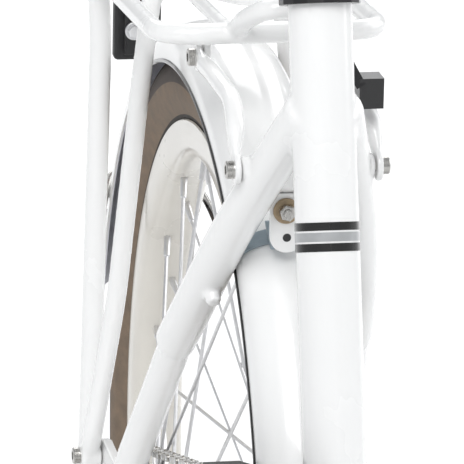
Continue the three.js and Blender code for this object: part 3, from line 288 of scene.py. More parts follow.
def lathe(bm, profile, centre, segments, axis=None):
    """Turns a closed profile of (radius, along) about an axis through the centre, or about Y."""
    if axis is None:
        axis, side, other = v(0, 1, 0), v(1, 0, 0), v(0, 0, 1)
    else:
        side = axis.orthogonal().normalized()
        other = axis.cross(side)
    rings = []
    for i in range(segments):
        a = 2 * math.pi * i / segments
        outward = side * math.cos(a) + other * math.sin(a)
        rings.append([centre + outward * r + axis * along for r, along in profile])
    skin(bm, rings, closed=True)


def prism(bm, outline, y0, y1):
    """A flat plate with an outline in X and Z."""
    low = [bm.verts.new(v(x, y0, z) * MM) for x, z in outline]
    high = [bm.verts.new(v(x, y1, z) * MM) for x, z in outline]
    bm.faces.new(low)
    bm.faces.new(list(reversed(high)))
    for i in range(len(low)):
        j = (i + 1) % len(low)
        bm.faces.new((low[j], low[i], high[i], high[j]))


def box(bm, low, high):
    """A block between two opposite corners."""
    (x0, y0, z0), (x1, y1, z1) = low, high
    prism(bm, [(x0, z0), (x1, z0), (x1, z1), (x0, z1)], y0, y1)


def slab(bm, outline, x0, x1):
    """A flat plate with an outline in Y and Z."""
    skin(bm, [[v(x, y, z) for y, z in outline] for x in (x0, x1)])


def cross_bar(bm, point, half, radius, sides=28):
    """A bar across the bicycle through a point on its middle plane."""
    bar(bm, point - v(0, half, 0), point + v(0, half, 0), radius, sides=sides)


def arc(x, z, radius, start, end, steps):
    """Points of an arc, from one angle in degrees to another."""
    turn = [math.radians(start + (end - start) * i / steps) for i in range(steps + 1)]
    return [(x + radius * math.cos(a), z + radius * math.sin(a)) for a in turn]


def finish_shading(obj, edge=0.0, angle=35):
    """Smooth faces, sharp creases, and a small rounding where faces meet at an edge."""
    obj.data.shade_smooth()
    obj.data.set_sharp_from_angle(angle=math.radians(angle))
    if edge:
        bevel = obj.modifiers.new("edge_rounding", "BEVEL")
        bevel.width = edge * MM
        bevel.segments = 2
        bevel.limit_method = "ANGLE"
        bevel.angle_limit = math.radians(angle)
        bevel.harden_normals = True


def piece(name, bm, material, body, replaced=(), edge=0.0, angle=35):
    """Makes an object of the mesh and lets it ride on its CAD body."""
    bmesh.ops.recalc_face_normals(bm, faces=bm.faces)
    mesh = bpy.data.meshes.new(name)
    bm.to_mesh(mesh)
    bm.free()
    obj = bpy.data.objects.new(name, mesh)
    bpy.context.scene.collection.objects.link(obj)
    mesh.materials.append(material)
    finish_shading(obj, edge, angle)
    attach(obj, body)
    if replaced:
        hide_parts(*replaced)
    return obj


def applied(obj):
    """Applies every modifier on a piece."""
    graph = bpy.context.evaluated_depsgraph_get()
    mesh = bpy.data.meshes.new_from_object(obj.evaluated_get(graph))
    obj.modifiers.clear()
    obj.data = mesh
    return obj


def welded(name, bm, material, voxel, body, replaced=(), rounds=4):
    """Melts overlapping tubes into one skin, with a soft fillet where they meet."""
    obj = piece(name, bm, material, body, replaced)
    remesh = obj.modifiers.new("weld", "REMESH")
    remesh.mode = "VOXEL"
    remesh.voxel_size = voxel * MM
    soften = obj.modifiers.new("fillet", "SMOOTH")
    soften.factor = 0.5
    soften.iterations = rounds
    applied(obj)
    obj.data.shade_smooth()
    return obj


# ---- Rear frame ----
STAY = [(239, 8.5, 536), (176, 31.5, 459), (134, 40.5, 411), (104, 45, 381)]
STAY_LOW = [(110, 44.2, 387), (90, 47.4, 360), (50, 51.6, 315), (26, 55, 285), (12, 55.8, 268)]
CHAINSTAY = [(304, 14, 283), (262, 27.5, 279), (225, 29.7, 275), (150, 42, 266), (44, 53.6, 255)]
STAY_TUBES = [(STAY, 30, 10.5), (STAY_LOW, 30, 8.6), (CHAINSTAY, 25, 7)]  # route, bend, tube radius
STRUT_BOSS = v(203, 0, 497)
STRUT_TOP = v(93, 0, 524.5)
STRUT_Y = 34.8
BOSS_RADIUS = 6.5
BOSS_INNER = 16
BOSS_OUTER = STRUT_Y - 2.1
CABLE_BOSS = (v(149, -36.5, 426.2), v(160.4, -36.2, 417))
BEAM_RADIUS = 25
BB_SHELL_RADIUS = 20
BB_SHELL_HALF = 34
FINE_ROUND = 48  # sides of the thickest tubes
DROPOUT_INNER = 53
DROPOUT_OUTER = 58
SLOT_RADIUS = 5.4
BRIDGE_BACK = 179
BRIDGE_FRONT = 182
BRIDGE_HALF = 13.5
BRIDGE_TOP = 490
HINGE_HALF_HEIGHT = 33
HINGE_GAP = 16.2  # half the height that the front half's knuckle takes
KNUCKLE_RADIUS = 9


def mirrored(points, side):
    """One side's points, with +1 for the left and -1 for the right."""
    return [v(x, y * side, z) for x, y, z in points]


def rear_frame_tubes():
    """The seat tube, bottom bracket shell, beam end, stays, bridges and bosses as one weldment."""
    bm = bmesh.new()
    bar(bm, on_seat(0), on_seat(SEAT_TUBE_LENGTH), SEAT_TUBE_RADIUS, sides=FINE_ROUND)
    cross_bar(bm, BB, BB_SHELL_HALF, BB_SHELL_RADIUS, FINE_ROUND)
    bar(bm, BB - v(0, 0, 2), v(HINGE.x - KNUCKLE_RADIUS, 0, HINGE.z), BEAM_RADIUS, sides=FINE_ROUND)
    for side in (1, -1):
        for route, bend, radius in STAY_TUBES:
            tube(bm, rounded(mirrored(route, side), bend), radius)
        inner, outer = v(0, side * BOSS_INNER, 0), v(0, side * BOSS_OUTER, 0)
        bar(bm, STRUT_BOSS + inner, STRUT_BOSS + outer, BOSS_RADIUS)
    cross_bar(bm, v(185, 0, 486), 24, 6)
    cross_bar(bm, v(266, 0, 279), 27, 6)
    bar(bm, *CABLE_BOSS, 4.4, 4)
    welded("rear_frame_tubes", bm, WHITE, 1.6, REAR, ["rear_frame"])


def rear_dropouts():
    """Two plates, each open below for the axle."""
    slot = [(-SLOT_RADIUS, 238)] + arc(0, AXLE_Z, SLOT_RADIUS, 180, 0, 10) + [(SLOT_RADIUS, 229)]
    outline = [(14, 226), (24, 232), (40, 240), (52, 246), (52, 262), (30, 282), (2, 284), (-30, 286),
               (-43, 283), (-45, 271), (-34, 262), (-24, 236), (-8, 238)] + slot
    bm = bmesh.new()
    for y0, y1 in ((DROPOUT_INNER, DROPOUT_OUTER), (-DROPOUT_OUTER, -DROPOUT_INNER)):
        prism(bm, outline, y0, y1)
    piece("rear_dropouts", bm, WHITE, REAR, ["rear_frame"], edge=0.8)


def bridge_plate():
    """The plate between the seatstays that the fender is bolted to."""
    low_end = arc(0, 464.5, BRIDGE_HALF, 180, 360, 20)
    bm = bmesh.new()
    slab(bm, [(-BRIDGE_HALF, BRIDGE_TOP)] + low_end + [(BRIDGE_HALF, BRIDGE_TOP)], BRIDGE_BACK, BRIDGE_FRONT)
    piece("bridge_plate", bm, WHITE, REAR, ["rear_frame"], edge=0.6)


def rear_hinge_half():
    """A plate across the beam's end with two of the hinge's three knuckles."""
    low, high = HINGE.z - HINGE_HALF_HEIGHT, HINGE.z + HINGE_HALF_HEIGHT
    bm = bmesh.new()
    box(bm, (HINGE.x - 10.5, -28, low), (HINGE.x - 2.5, HINGE.y, high))
    for start, end in ((low, HINGE.z - HINGE_GAP), (HINGE.z + HINGE_GAP, high)):
        bar(bm, v(HINGE.x, HINGE.y, start), v(HINGE.x, HINGE.y, end), KNUCKLE_RADIUS)
    piece("rear_hinge_half", bm, WHITE, REAR, ["rear_frame"], edge=1.0)


def stripe(name, spans, film):
    """Thin bands round the seat tube; each span is measured along the tube."""
    middle = on_seat((STRIPE_Z - BB.z) / math.cos(TILT))
    inner, outer = SEAT_TUBE_RADIUS - 0.3, SEAT_TUBE_RADIUS + 0.12
    bm = bmesh.new()
    for low, high in spans:
        lathe(bm, [(inner, low), (outer, low), (outer, high), (inner, high)], middle, 72, UP)
    piece(name, bm, film, REAR)


# ---- Fenders and their fittings ----
def fender_ring(x, angle, offset, count=28):
    """The fender's section at one place round the wheel."""
    a = math.radians(angle)
    out = v(math.cos(a), 0, math.sin(a))
    made = []
    for i in range(count + 1):
        t = math.pi * i / count
        rise = (FENDER_RISE + offset) * max(math.sin(t), 0) ** 0.8
        across = v(0, (FENDER_HALF + offset) * math.cos(t), 0)
        made.append(v(x, 0, AXLE_Z) + out * (FENDER_LIP + rise) + across)
    return made


def fender_layer(x, angles, low, high):
    """Sections between two offsets from the fender's inner face."""
    return [fender_ring(x, a, high) + fender_ring(x, a, low)[::-1] for a in angles]


def fender(name, x, start, end, body):
    """A white shell with its inner face tinted pale lilac as painted shade, and a thin black tube along both
    lips as painted shadow of the gap under each lip.
    """
    steps = 90
    angles = [start + (end - start) * i / steps for i in range(steps + 1)]
    # The lining layer carries the inner face's lilac tint, which is painted shade.
    for part, low, high, paint in (("shell", LINING_SKIN, FENDER_SKIN, WHITE),
                                   ("lining", 0.0, LINING_SKIN, FENDER_INSIDE_SHADE_TINT)):
        bm = bmesh.new()
        skin(bm, fender_layer(x, angles, low, high))
        piece(f"{name}_{part}", bm, paint, body, [name])
    # Painted shadow: a thin black tube along each lip stands in for the dark gap between the lip and the
    # tyre.
    bm = bmesh.new()
    reach = FENDER_LIP + 0.3
    for side in (1, -1):
        path = []
        for a in (math.radians(angle) for angle in angles if angle < SHADOW_LINE_END):
            y = side * (FENDER_HALF + SHADOW_LINE_RADIUS)
            path.append(v(x + reach * math.cos(a), y, AXLE_Z + reach * math.sin(a)))
        tube(bm, path, SHADOW_LINE_RADIUS, 10)
    piece(f"{name}_painted_shadow_line", bm, BLACK_FILM_AND_SHADOW_LINE, body, [name])


STRAP_ANGLES = [49.7, 50.3, 51, 51.6]  # degrees round the wheel
STRAP_FOLD = [(165, 460), (172, 454), (182, 450), (182, 452.6), (176, 454.4), (168, 460.5)]
TAB_BACK = 182.4
TAB_FRONT = 184.4
TAB_Y = -5.5
TAB_HALF = 8.6
TAB_TOP = 479
TAB_LOW = 457.5
TAB_HOLE = v(184.2, TAB_Y, 456.6)
BOLT_Y = -6.3
BOLT_Z = 470.4
WASHER_FRONT = 186.2


def fender_clip():
    """A zinc strap over the fender, and the white tab that it is folded on to."""
    bm = bmesh.new()
    skin(bm, fender_layer(0, STRAP_ANGLES, FENDER_SKIN + 0.3, FENDER_SKIN + 1.6))
    prism(bm, STRAP_FOLD, -13, -3)
    piece("fender_strap", bm, ZINC, REAR, ["fender_clip"], edge=0.35)
    bm = bmesh.new()
    top = [(TAB_Y + TAB_HALF, TAB_TOP), (TAB_Y - TAB_HALF, TAB_TOP)]
    slab(bm, arc(TAB_Y, TAB_LOW, TAB_HALF, 180, 360, 20) + top, TAB_BACK, TAB_FRONT)
    piece("strap_tab", bm, WHITE, REAR, ["fender_clip"], edge=0.5)
    bm = bmesh.new()
    # Painted shade: a thin black disc stands in for the dark inside of the tab's hole.
    bar(bm, TAB_HOLE, TAB_HOLE + v(0.35, 0, 0), 2.1, sides=24, soft=0.1)
    piece("strap_tab_hole_painted_shade", bm, BLACK, REAR)


def fender_bolt():
    """The bolt through the tab and the bridge plate, over a tan washer."""
    bm = bmesh.new()
    hex_bolt(bm, v(WASHER_FRONT + 0.2, BOLT_Y, BOLT_Z), v(1, 0, 0), 4.2, 4.2, socket=False)
    bar(bm, v(BRIDGE_FRONT, BOLT_Y, BOLT_Z), v(BRIDGE_FRONT + 10, BOLT_Y, BOLT_Z), 2.3, sides=20)
    piece("fender_bolt", bm, STEEL, REAR, ["fender_clip"], edge=0.2)
    bm = bmesh.new()
    bar(bm, v(TAB_FRONT, BOLT_Y, BOLT_Z), v(WASHER_FRONT, BOLT_Y, BOLT_Z), 6.4)
    piece("fender_washer", bm, TAN, REAR, ["fender_clip"])


def fender_stay(name, x, angle, foot, body):
    """One wire from the axle on one side, over the fender, to the axle on the other."""
    a = math.radians(angle)
    half = FENDER_HALF + 6

    def at(radius, y):
        return v(x + radius * math.cos(a), y, AXLE_Z + radius * math.sin(a))

    def side(s):
        return mirrored(foot, s) + [at(FENDER_LIP - 4, s * half), at(265.4, s * 21)]

    bm = bmesh.new()
    tube(bm, rounded(side(-1) + side(1)[::-1], 9), 2, 14)
    piece(name + "_wire", bm, STEEL, body, [name])


# ---- Rack ----
LEG_A = [(-37, 64.4, 276), (-37.5, 63.8, 292), (-79, 54, 493), (-86, 55, 526)]
LEG_B = [(-34, 64.4, 278), (-27, 63.9, 291), (-30, 52, 363), (-40, 39, 480), (-43, 33, 529), (-43, 0, 529.5)]
NOSE = [(RACK_FRONT - 3, -18, 540), (126, -17, 552), (143, -9, 561), (143, 9, 561), (126, 17, 552),
        (RACK_FRONT - 3, 18, 540)]
STRUT = [(203, STRUT_Y, 497), (198, STRUT_Y, 504), (193.7, 33.8, 514.6), (174.6, 31.9, 524), (129, 33.6, 526),
         (106, 34.2, 524.6), (93, 34.2, 524.5)]
STRUT_RADIUS = 4.6
STRUT_TOP_Y = 34.2
EYE_RADIUS = 7.5
EYE_HALF = 1.5
RACK_FOOT = v(-36, 0, 276)
RACK_FOOT_OUT = 69
BOLT_SHANK = 2.4
CAP_RADIUS = 4.4


def on_rack(x, y):
    """A point on the rack's top, which falls a little toward the back."""
    return v(x, y, 540 - 0.07 * (RACK_FRONT - x))


def cap_bolt(bm, point, side, y, reach, head):
    """A cap bolt across the bicycle, under its head from y inward by its reach."""
    under = v(point.x, side * y, point.z)
    hex_bolt(bm, under, v(0, side, 0), CAP_RADIUS, head)
    bar(bm, under - v(0, side * reach, 0), under, BOLT_SHANK)


def rack_tubes():
    bm = bmesh.new()
    corners = [on_rack(RACK_REAR, 0), on_rack(RACK_REAR, -RACK_HALF), on_rack(RACK_FRONT, -RACK_HALF),
               on_rack(RACK_FRONT, RACK_HALF), on_rack(RACK_REAR, RACK_HALF), on_rack(RACK_REAR, 0)]
    tube(bm, rounded(corners, 24), RACK_TUBE)
    for x, radius in ((-43, 4.2), (-140, 4.2), (RACK_FRONT - 10, 4)):
        cross_bar(bm, on_rack(x, 0), RACK_HALF, radius)
    for side in (1, -1):
        bar(bm, on_rack(RACK_REAR, side * 20), on_rack(RACK_FRONT, side * 20), 3.6)
        tube(bm, rounded(mirrored(LEG_A, side), 20), RACK_TUBE + 0.6)
        tube(bm, rounded(mirrored(LEG_B, side), 14), RACK_TUBE)
        bar(bm, RACK_FOOT + v(0, side * 58.4, 0), RACK_FOOT + v(0, side * RACK_FOOT_OUT, 0), 7)
    tube(bm, rounded(NOSE, 12), RACK_TUBE)
    welded("rack_tubes", bm, WHITE, 1.3, REAR, ["rack"], 3)


def rack_fittings():
    """The tabs that the struts are bolted to, the reflector's tab and the foot bolts."""
    bm = bmesh.new()
    for y0, y1 in ((28.6, 32), (-32, -28.6)):
        prism(bm, [(84, 516), (97, 516), (100, 540), (84, 538)], y0, y1)
    piece("rack_tabs", bm, WHITE, REAR, ["rack"], edge=0.7)
    bm = bmesh.new()
    box(bm, (RACK_REAR - 6, -15, 441), (RACK_REAR - 2, 1, 516.4))
    piece("reflector_tab", bm, PLASTIC, REAR, ["rack"], edge=0.7)
    bm = bmesh.new()
    for side in (1, -1):
        cap_bolt(bm, RACK_FOOT, side, RACK_FOOT_OUT, 15.8, 4)
    piece("rack_foot_bolts", bm, STEEL, REAR, ["rack"])


def rack_strut(name, side):
    """A tube that is flattened toward an eye at each end, and its two bolts."""
    route = rounded(mirrored(STRUT, side), 12)
    bm = bmesh.new()
    rings = []
    for place in frames(route):
        near = min((place[0] - route[0]).length, (place[0] - route[-1]).length)
        squeeze = 0.42 + 0.58 * min(1, max(0, near - 4) / 16)
        rings.append(oval(place, STRUT_RADIUS * squeeze, STRUT_RADIUS + 2.0 * (1 - squeeze)))
    skin(bm, rings)
    for centre, y in ((STRUT_BOSS, STRUT_Y), (STRUT_TOP, STRUT_TOP_Y)):
        inner, outer = side * (y - EYE_HALF), side * (y + EYE_HALF)
        bar(bm, centre + v(0, inner, 0), centre + v(0, outer, 0), EYE_RADIUS)
    welded(name + "_tube", bm, WHITE, 0.8, REAR, [name], 3)
    bm = bmesh.new()
    cap_bolt(bm, STRUT_BOSS, side, STRUT_Y + EYE_HALF, 10, 3.8)
    cap_bolt(bm, STRUT_TOP, side, STRUT_TOP_Y + EYE_HALF, 7, 3.8)
    piece(name + "_bolts", bm, STEEL, REAR, [name])


# ---- Wheels ----
TYRE = [(246, 5), (238, 12), (228, 15.8), (214, 12.6), (204.6, 6.5), (204.6, 9.6), (207, 11.6), (212, 13.6),
        (221, 18.4), (229, 20), (236, 19.2), (241, 16.4), (243.4, 14.4), (246.5, 11.5), (249.2, 7.5)]
GROOVES = [(249.9, 6.4), (248.6, 5.6), (250.2, 4.6), (250.5, 2.2), (249.2, 1.6), (250.6, 0.9)]
# Out past the first radius the tyre takes the dark tread colour, partly the real tread rubber and partly
# painted shade over the shoulder under the fender; in below the second it takes a dark band of painted shadow
# where the tyre meets the rim.
DARK_OUTER_FROM = 229
RIM_SHADOW_TO = 212.5
RIM = [(202.5, 0), (202.5, 5), (203.6, 12), (208.4, 12.4), (209.6, 13.2), (209, 14.1), (196.5, 14.2),
       (192.4, 12.2), (189.8, 8.6), (RIM_INNER, 3), (RIM_INNER, 0)]


def side_to_side(profile):
    """A wheel section from one side's outline."""
    return profile + [(r, -y) for r, y in reversed(profile) if y > 0]


def tyre(end, x, body):
    """A brown sidewall between a dark grooved tread, whose dark band is widened over the shoulder as painted
    shade under the fender, and a dark band by the rim that is painted shadow.
    """
    bm = bmesh.new()
    lathe(bm, side_to_side(TYRE + GROOVES), v(x, 0, AXLE_Z), 192)
    made = piece(f"{end}_tyre_casing", bm, SIDEWALL, body, [f"{end}_tyre"], angle=60)
    made.data.materials.append(OUTER_RUBBER_AND_SHADE)
    made.data.materials.append(RIM_SHADOW_BAND)
    for face in made.data.polygons:
        middle = face.center / MM
        radius = math.hypot(middle.x - x, middle.z - AXLE_Z)
        # Outer faces take the tread colour and its painted shade, inner faces the painted shadow by the rim.
        if radius > DARK_OUTER_FROM:
            face.material_index = 1
        elif radius < RIM_SHADOW_TO:
            face.material_index = 2


def rim(end, x, body):
    bm = bmesh.new()
    lathe(bm, side_to_side(RIM), v(x, 0, AXLE_Z), 192)
    piece(f"{end}_rim_band", bm, CREAM, body, [f"{end}_rim"], angle=50)


def spokes(end, x, flange_y, flange_radius, body):
    """Each spoke leaves its flange nearly tangentially and crosses three others."""
    wires, nipples = bmesh.new(), bmesh.new()
    wind = 2 * math.pi * 3 / (SPOKES // 2)

    def point(radius, angle, y):
        return v(x + radius * math.cos(angle), y, AXLE_Z + radius * math.sin(angle))

    for i in range(SPOKES):
        side = 1 if i % 2 else -1
        angle = 2 * math.pi * (i + 0.5) / SPOKES
        lead = 1 if (i // 2) % 2 else -1
        head = point(flange_radius - 3, angle + lead * wind, side * (flange_y + 1.2 + lead * SPOKE_WEAVE))
        seat = point(RIM_INNER, angle, side * 3)
        inward = (head - seat).normalized()
        bar(wires, head, seat, SPOKE_RADIUS, sides=8, soft=0.2)
        bar(nipples, seat - inward * 1.5, seat + inward * NIPPLE_LENGTH, 2.0, 1.6, sides=10)
    replaced = [f"{end}_spokes_left", f"{end}_spokes_right"]
    piece(f"{end}_spoke_wires", wires, ALLOY, body, replaced)
    piece(f"{end}_spoke_nipples", nipples, ALLOY, body, replaced)


def hub(end, x, flange_y, flange_radius, barrel, body):
    """A waisted barrel between two flanges."""
    waist = barrel * 0.82
    bm = bmesh.new()
    half = [(9.2, 0), (9.2, flange_y + 5.6), (barrel - 3, flange_y + 6), (barrel - 1, flange_y + 4),
            (barrel, flange_y + 0.4), (flange_radius - 1, flange_y), (flange_radius, flange_y - 1),
            (flange_radius - 1, flange_y - 2.8), (barrel + 2, flange_y - 3.4), (waist + 1, flange_y - 8),
            (waist, flange_y - 14), (waist, 0)]
    lathe(bm, side_to_side(half), v(x, 0, AXLE_Z), 72)
    piece(f"{end}_hub_barrel", bm, ALLOY, body, [f"{end}_hub_shell"], angle=40)


# ---- Chain ----
PLATE_THICK = 0.8
NARROW_HALF = 1.9  # from the chain's middle to the inner face of a narrow link's plates
WIDE_HALF = 2.8
PIN_HALF = 3.8
ROLLER_RADIUS = 1.5


def pitch_radius(teeth):
    return PITCH / (2 * math.sin(math.pi / teeth))


def evenly(path, count):
    """Points at equal distances along a closed path."""
    lengths = [(b - a).length for a, b in zip(path, path[1:] + path[:1])]
    step = sum(lengths) / count
    made, i, walked = [], 0, 0.0
    for k in range(count):
        while walked + lengths[i] < k * step:
            walked += lengths[i]
            i += 1
        share = (k * step - walked) / lengths[i]
        made.append(path[i].lerp(path[(i + 1) % len(path)], share))
    return made


def chain_route():
    """The pins' places round the chainring and the sprocket, just outside their teeth."""
    rear, front = pitch_radius(SPROCKET_TEETH) + CHAIN_LIFT, pitch_radius(CHAINRING_TEETH) + CHAIN_LIFT
    dx, dz = BB.x, BB.z - AXLE_Z
    slope = math.degrees(math.atan2(dz, dx))
    lean = math.degrees(math.acos((front - rear) / math.hypot(dx, dz)))
    rise = slope + 180 - lean
    path = arc(BB.x, BB.z, front, rise, slope + lean - 180, 90)
    path += arc(0, AXLE_Z, rear, slope + lean - 180, rise - 360, 60)
    return evenly([v(x, CHAIN_Y, z) for x, z in path], CHAIN_LINKS)


def link_outline(start, end):
    """A chain plate's outline: round at both pins, narrower between them."""
    along = (end - start).normalized()
    up = v(0, 1, 0).cross(along)
    half = (end - start).length / 2
    made = []
    for k in range(20):
        a = 2 * math.pi * k / 20
        waist = 2.4 if abs(math.cos(a)) > 0.35 else 1.7
        reach = math.copysign(half, math.cos(a)) if abs(math.cos(a)) > 0.05 else 0
        made.append((start + end) / 2 + along * (reach + 2.3 * math.cos(a)) + up * (waist * math.sin(a)))
    return made


def chain():
    """Links that are narrow and wide by turns, with a roller at every pin."""
    pins = chain_route()
    plates, rollers = bmesh.new(), bmesh.new()
    for i, start in enumerate(pins):
        outline = link_outline(start, pins[(i + 1) % CHAIN_LINKS])
        for side in (1, -1):
            inner = side * (NARROW_HALF if i % 2 else WIDE_HALF)
            outer = inner + side * PLATE_THICK
            skin(plates, [[p + v(0, y, 0) for p in outline] for y in (inner, outer)])
        pin = v(0, PIN_HALF, 0)
        bar(rollers, start - pin, start + pin, ROLLER_RADIUS, sides=12, soft=0.2)
    piece("chain_plates", plates, STEEL, REAR, ["chain"])
    piece("chain_rollers", rollers, ALLOY, REAR, ["chain"])


# ---- Saddle and grips ----
SADDLE_WIDTHS = [(0, 0.0), (0.03, 13), (0.1, 19), (0.3, 24.5), (0.45, 34), (0.6, 55), (0.74, 77),
                 (0.86, 87), (0.95, 78), (1, 50)]
SADDLE_STEPS = 44
SADDLE_AROUND = 40
CORNER = 0.62  # below 1 it makes the saddle's section squarer than an ellipse
GROOVE_DEPTH = 3.2


def saddle_half_width(t):
    """Half the saddle's width from its nose, t = 0, to its back, t = 1."""
    for (t0, w0), (t1, w1) in zip(SADDLE_WIDTHS, SADDLE_WIDTHS[1:]):
        if t <= t1:
            s = (t - t0) / (t1 - t0)
            return w0 + (w1 - w0) * (s * s * (3 - 2 * s) if t0 > 0.05 else math.sqrt(s))
    return 0


def saddle_ring(t, x, bottom, top_limit):
    """The saddle's section: a crowned top with a groove behind the nose, over a tucked skirt."""
    width = max(saddle_half_width(t), 2)
    top = top_limit - 4 - 7 * math.sin(math.pi * min(1, t * 1.4)) + (8 * max(0, t - 0.6) / 0.4)
    skirt = min(24, width * 0.75)
    middle = top - skirt * 0.55
    made = []
    for k in range(SADDLE_AROUND):
        a = 2 * math.pi * k / SADDLE_AROUND
        c, s = math.cos(a), math.sin(a)
        y = width * math.copysign(abs(c) ** CORNER, c)
        crown = top if s >= 0 else max(bottom + 1, top - skirt - 4)
        z = middle + (crown - middle) * abs(s) ** CORNER
        if s > 0 and t > 0.35:
            z -= GROOVE_DEPTH * math.exp(-(y / 9) ** 2) * min(1, (t - 0.35) * 5)
        made.append(v(x, y, z))
    return made


def saddle_stitches(rings):
    """A row of stitches above each side's widest line."""
    bm = bmesh.new()
    for k, out in ((0, 0.5), (SADDLE_AROUND // 2, -0.5)):
        lift = v(0, out, 2.5)
        for a, b in zip(rings[2:-2], rings[3:-1]):
            bar(bm, a[k].lerp(b[k], 0.15) + lift, a[k].lerp(b[k], 0.8) + lift, 0.55, sides=6, soft=0.15)
    piece("saddle_stitches", bm, STITCH, "seat", ["saddle"])


def saddle():
    low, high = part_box("saddle")
    x0, x1 = low[0] / MM + 1, high[0] / MM - 1
    rings = []
    for i in range(SADDLE_STEPS + 1):
        t = 0.004 + 0.992 * i / SADDLE_STEPS
        rings.append(saddle_ring(t, x1 - (x1 - x0) * t, low[2] / MM, high[2] / MM))
    bm = bmesh.new()
    skin(bm, rings)
    cover = piece("saddle_cover", bm, LEATHER, "seat", ["saddle"], angle=80)
    detail = cover.modifiers.new("fine", "SUBSURF")
    detail.levels = detail.render_levels = 1
    applied(cover)
    saddle_stitches(rings)


GRIP_BORE = 11.8
GRIP_RADIUS = 14.6
GRIP_COLLAR = 1.1
GRIP_RIB = 0.45
GRIP_STEPS = 90
STEPS_PER_RIB = 5


def bar_point(y, back, rise):
    """A point on the handlebar, measured from the middle of its clamp."""
    return on_steer(880 + rise, -back, y)


def grip(name, side):
    """A ribbed sleeve with a collar at each end."""
    start, end = bar_point(side * 112, 24, 22), bar_point(side * 290, 62, 26)
    axis = (end - start).normalized()
    length = (end - start).length
    profile = [(GRIP_BORE, 0.38 * length)]
    for i in range(GRIP_STEPS + 1):
        t = i / GRIP_STEPS
        collar = GRIP_COLLAR if t < 0.03 or t > 0.96 else 0
        rib = GRIP_RIB * math.cos(2 * math.pi * i / STEPS_PER_RIB)
        swell = GRIP_RADIUS + math.sin(math.pi * t) + collar
        profile.append((swell + rib, (0.385 + 0.635 * t) * length))
    profile += [(GRIP_RADIUS - 1.1, 1.03 * length), (GRIP_BORE, 1.03 * length)]
    bm = bmesh.new()
    lathe(bm, profile, start, 48, axis)
    piece(name + "_sleeve", bm, LEATHER, "handlebar_assembly", [name], angle=60)


# ---- Rear lights ----
def rear_lights():
    """The reflector's case and the nut that holds it to the rack's tab."""
    low, high = (tuple(c / MM for c in corner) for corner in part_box("rear_reflector_housing"))
    bm = bmesh.new()
    box(bm, low, high)
    piece("reflector_case", bm, PLASTIC, REAR, ["rear_reflector_housing"], edge=2.2)
    bm = bmesh.new()
    nut = v(RACK_REAR, -10, 455)
    bar(bm, nut - v(2, 0, 0), nut, 5.2)
    hex_bolt(bm, nut, v(1, 0, 0), 4.0, 3.2, socket=False)
    piece("reflector_nut", bm, ALLOY, REAR, edge=0.2)


# ---- CAD nodes that are shown as they are ----
KEPT = {
    "seat_post": (ALLOY, 0.4), "seat_clamp_collar": (BLACK, 0.5), "seat_clamp_lever": (BLACK, 2.2),
    "saddle_frame": (PLASTIC, 0.5), "rear_axle": (STEEL, 0.3), "front_axle": (STEEL, 0.3),
    "coaster_brake_arm": (STEEL, 0.4), "fender_lamp": (PLASTIC, 2.5), "rear_reflector_lens": (LENS, 1.0),
    "rack_spring_clip": (WHITE, 0.3), "crank_spindle": (STEEL, 0.3), "bottom_bracket_cartridge": (STEEL, 0.3),
    "chainring": (ALLOY, 0.25), "crank_arm_left": (ALLOY, 1.0), "crank_arm_right": (ALLOY, 1.0),
    "pedal_left": (PLASTIC, 1.0), "pedal_right": (PLASTIC, 1.0), "rear_sprocket": (STEEL, 0.25),
    "chain_guard": (PLASTIC, 0.4), "kickstand_bracket": (STEEL, 0.8), "kickstand_leg": (ALLOY, 0.6),
    "front_frame": (WHITE, 0.8), "frame_hinge_pin": (STEEL, 0.4), "frame_latch_lever": (BLACK, 1.0),
    "fork": (WHITE, 0.8), "headset": (BLACK, 0.6), "front_brake_arm_left": (BLACK, 0.6),
    "front_brake_arm_right": (BLACK, 0.6), "stem_base": (BLACK, 0.8), "handlepost": (WHITE, 0.8),
    "handlepost_latch_lever": (BLACK, 1.0), "handlebar": (ALLOY, 0.4), "brake_lever_bracket": (BLACK, 0.6),
    "brake_lever": (ALLOY, 0.8), "bell": (STEEL, 0.4), "bell_lever": (BLACK, 0.4),
}


def dress_kept_nodes():
    """Gives each kept node its finish and its edge rounding in millimetres."""
    for name, (material, edge) in KEPT.items():
        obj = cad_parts[name]
        obj.data.materials.clear()
        obj.data.materials.append(material)
        finish_shading(obj, edge, 40)


# ---- Stage ----
FLOOR_Z = -0.0006  # metres, just under the tyres
FLOOR_HALF = 14
LIGHTS = [("key", (2.4, -1.0, 3.0), (0.2, 0, 0.45), 1.8, 78),
          ("back", (-5.5, 1.2, 3.6), (-4.6, 0.8, 0), 5.0, 210),
          ("fill", (-0.6, 2.6, 1.8), (0.3, 0, 0.5), 2.6, 38)]


def area_light(name, place, target, size, power):
    light = bpy.data.lights.new(name, "AREA")
    light.size = size
    light.energy = power
    obj = bpy.data.objects.new(name, light)
    obj.location = place
    obj.rotation_euler = (Vector(target) - Vector(place)).to_track_quat("-Z", "Y").to_euler()
    bpy.context.scene.collection.objects.link(obj)


def floor():
    bm = bmesh.new()
    corners = [(-FLOOR_HALF, -FLOOR_HALF), (FLOOR_HALF, -FLOOR_HALF), (FLOOR_HALF, FLOOR_HALF),
               (-FLOOR_HALF, FLOOR_HALF)]
    bm.faces.new([bm.verts.new((x, y, FLOOR_Z)) for x, y in corners])
    mesh = bpy.data.meshes.new("floor")
    bm.to_mesh(mesh)
    bm.free()
    obj = bpy.data.objects.new("floor", mesh)
    mesh.materials.append(FLOOR)
    bpy.context.scene.collection.objects.link(obj)


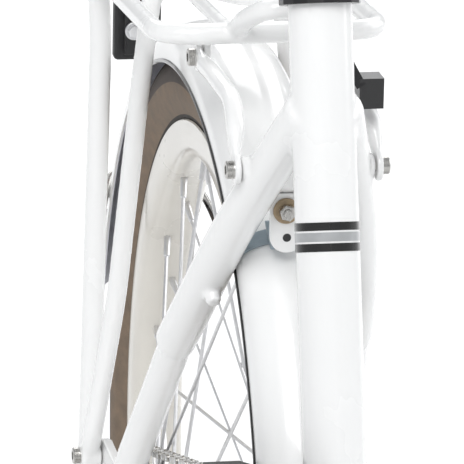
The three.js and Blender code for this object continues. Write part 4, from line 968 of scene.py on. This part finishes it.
def studio():
    """A pale world with three soft lights."""
    world = bpy.data.worlds.new("studio")
    world.use_nodes = True
    background = world.node_tree.nodes["Background"]
    background.inputs["Color"].default_value = (0.96, 0.98, 1, 1)
    background.inputs["Strength"].default_value = 0.55
    bpy.context.scene.world = world
    bpy.context.scene.view_settings.view_transform = "Standard"
    for light in LIGHTS:
        area_light(*light)


def camera():
    """The camera looks from the front right, from above the bicycle's beam."""
    bearing, rise, roll = (math.radians(a) for a in (10.88, 16.14, 1.21))
    distance = 3.001
    target = Vector((0.2628, -0.0478, 0.4835))
    back = Vector((math.cos(bearing) * math.cos(rise), -math.sin(bearing) * math.cos(rise), math.sin(rise)))
    level = Vector((0, 0, 1)).cross(back).normalized()
    above = back.cross(level)
    right = level * math.cos(roll) + above * math.sin(roll)
    up = above * math.cos(roll) - level * math.sin(roll)
    data = bpy.data.cameras.new("camera")
    data.sensor_width = 36
    data.lens = 493.45
    data.clip_end = 60
    obj = bpy.data.objects.new("camera", data)
    turn = Matrix((right, up, back)).transposed().to_4x4()
    obj.matrix_world = Matrix.Translation(target + back * distance) @ turn
    bpy.context.scene.collection.objects.link(obj)
    bpy.context.scene.camera = obj


rear_frame_tubes()
rear_dropouts()
bridge_plate()
rear_hinge_half()
stripe("seat_tube_stripe_black", [(-6.95, -3.05), (3.05, 6.95)], BLACK_FILM_AND_SHADOW_LINE)
stripe("seat_tube_stripe_silver", [(-2.15, 2.15)], SILVER_FILM)
fender("rear_fender", 0, 12, 167, REAR)
fender("front_fender", WHEELBASE, 36, 172, STEERING)
fender_clip()
fender_bolt()
fender_stay("rear_fender_stay", 0, 152, [(-20, 60.6, 247), (-58, 60.6, 263)], REAR)
fender_stay("front_fender_stay", WHEELBASE, 158, [(WHEELBASE - 10, 63.8, 266)], STEERING)
rack_tubes()
rack_fittings()
rack_strut("rack_strut_left", 1)
rack_strut("rack_strut_right", -1)
for end, x, flange_y, flange_radius, barrel in (("rear", 0, 28, 30, 22), ("front", WHEELBASE, 33, 21, 15)):
    wheel = f"{end}_wheel"
    tyre(end, x, wheel)
    rim(end, x, wheel)
    spokes(end, x, flange_y, flange_radius, wheel)
    hub(end, x, flange_y, flange_radius, barrel, wheel)
chain()
saddle()
grip("grip_left", 1)
grip("grip_right", -1)
rear_lights()
dress_kept_nodes()
floor()
studio()
camera()
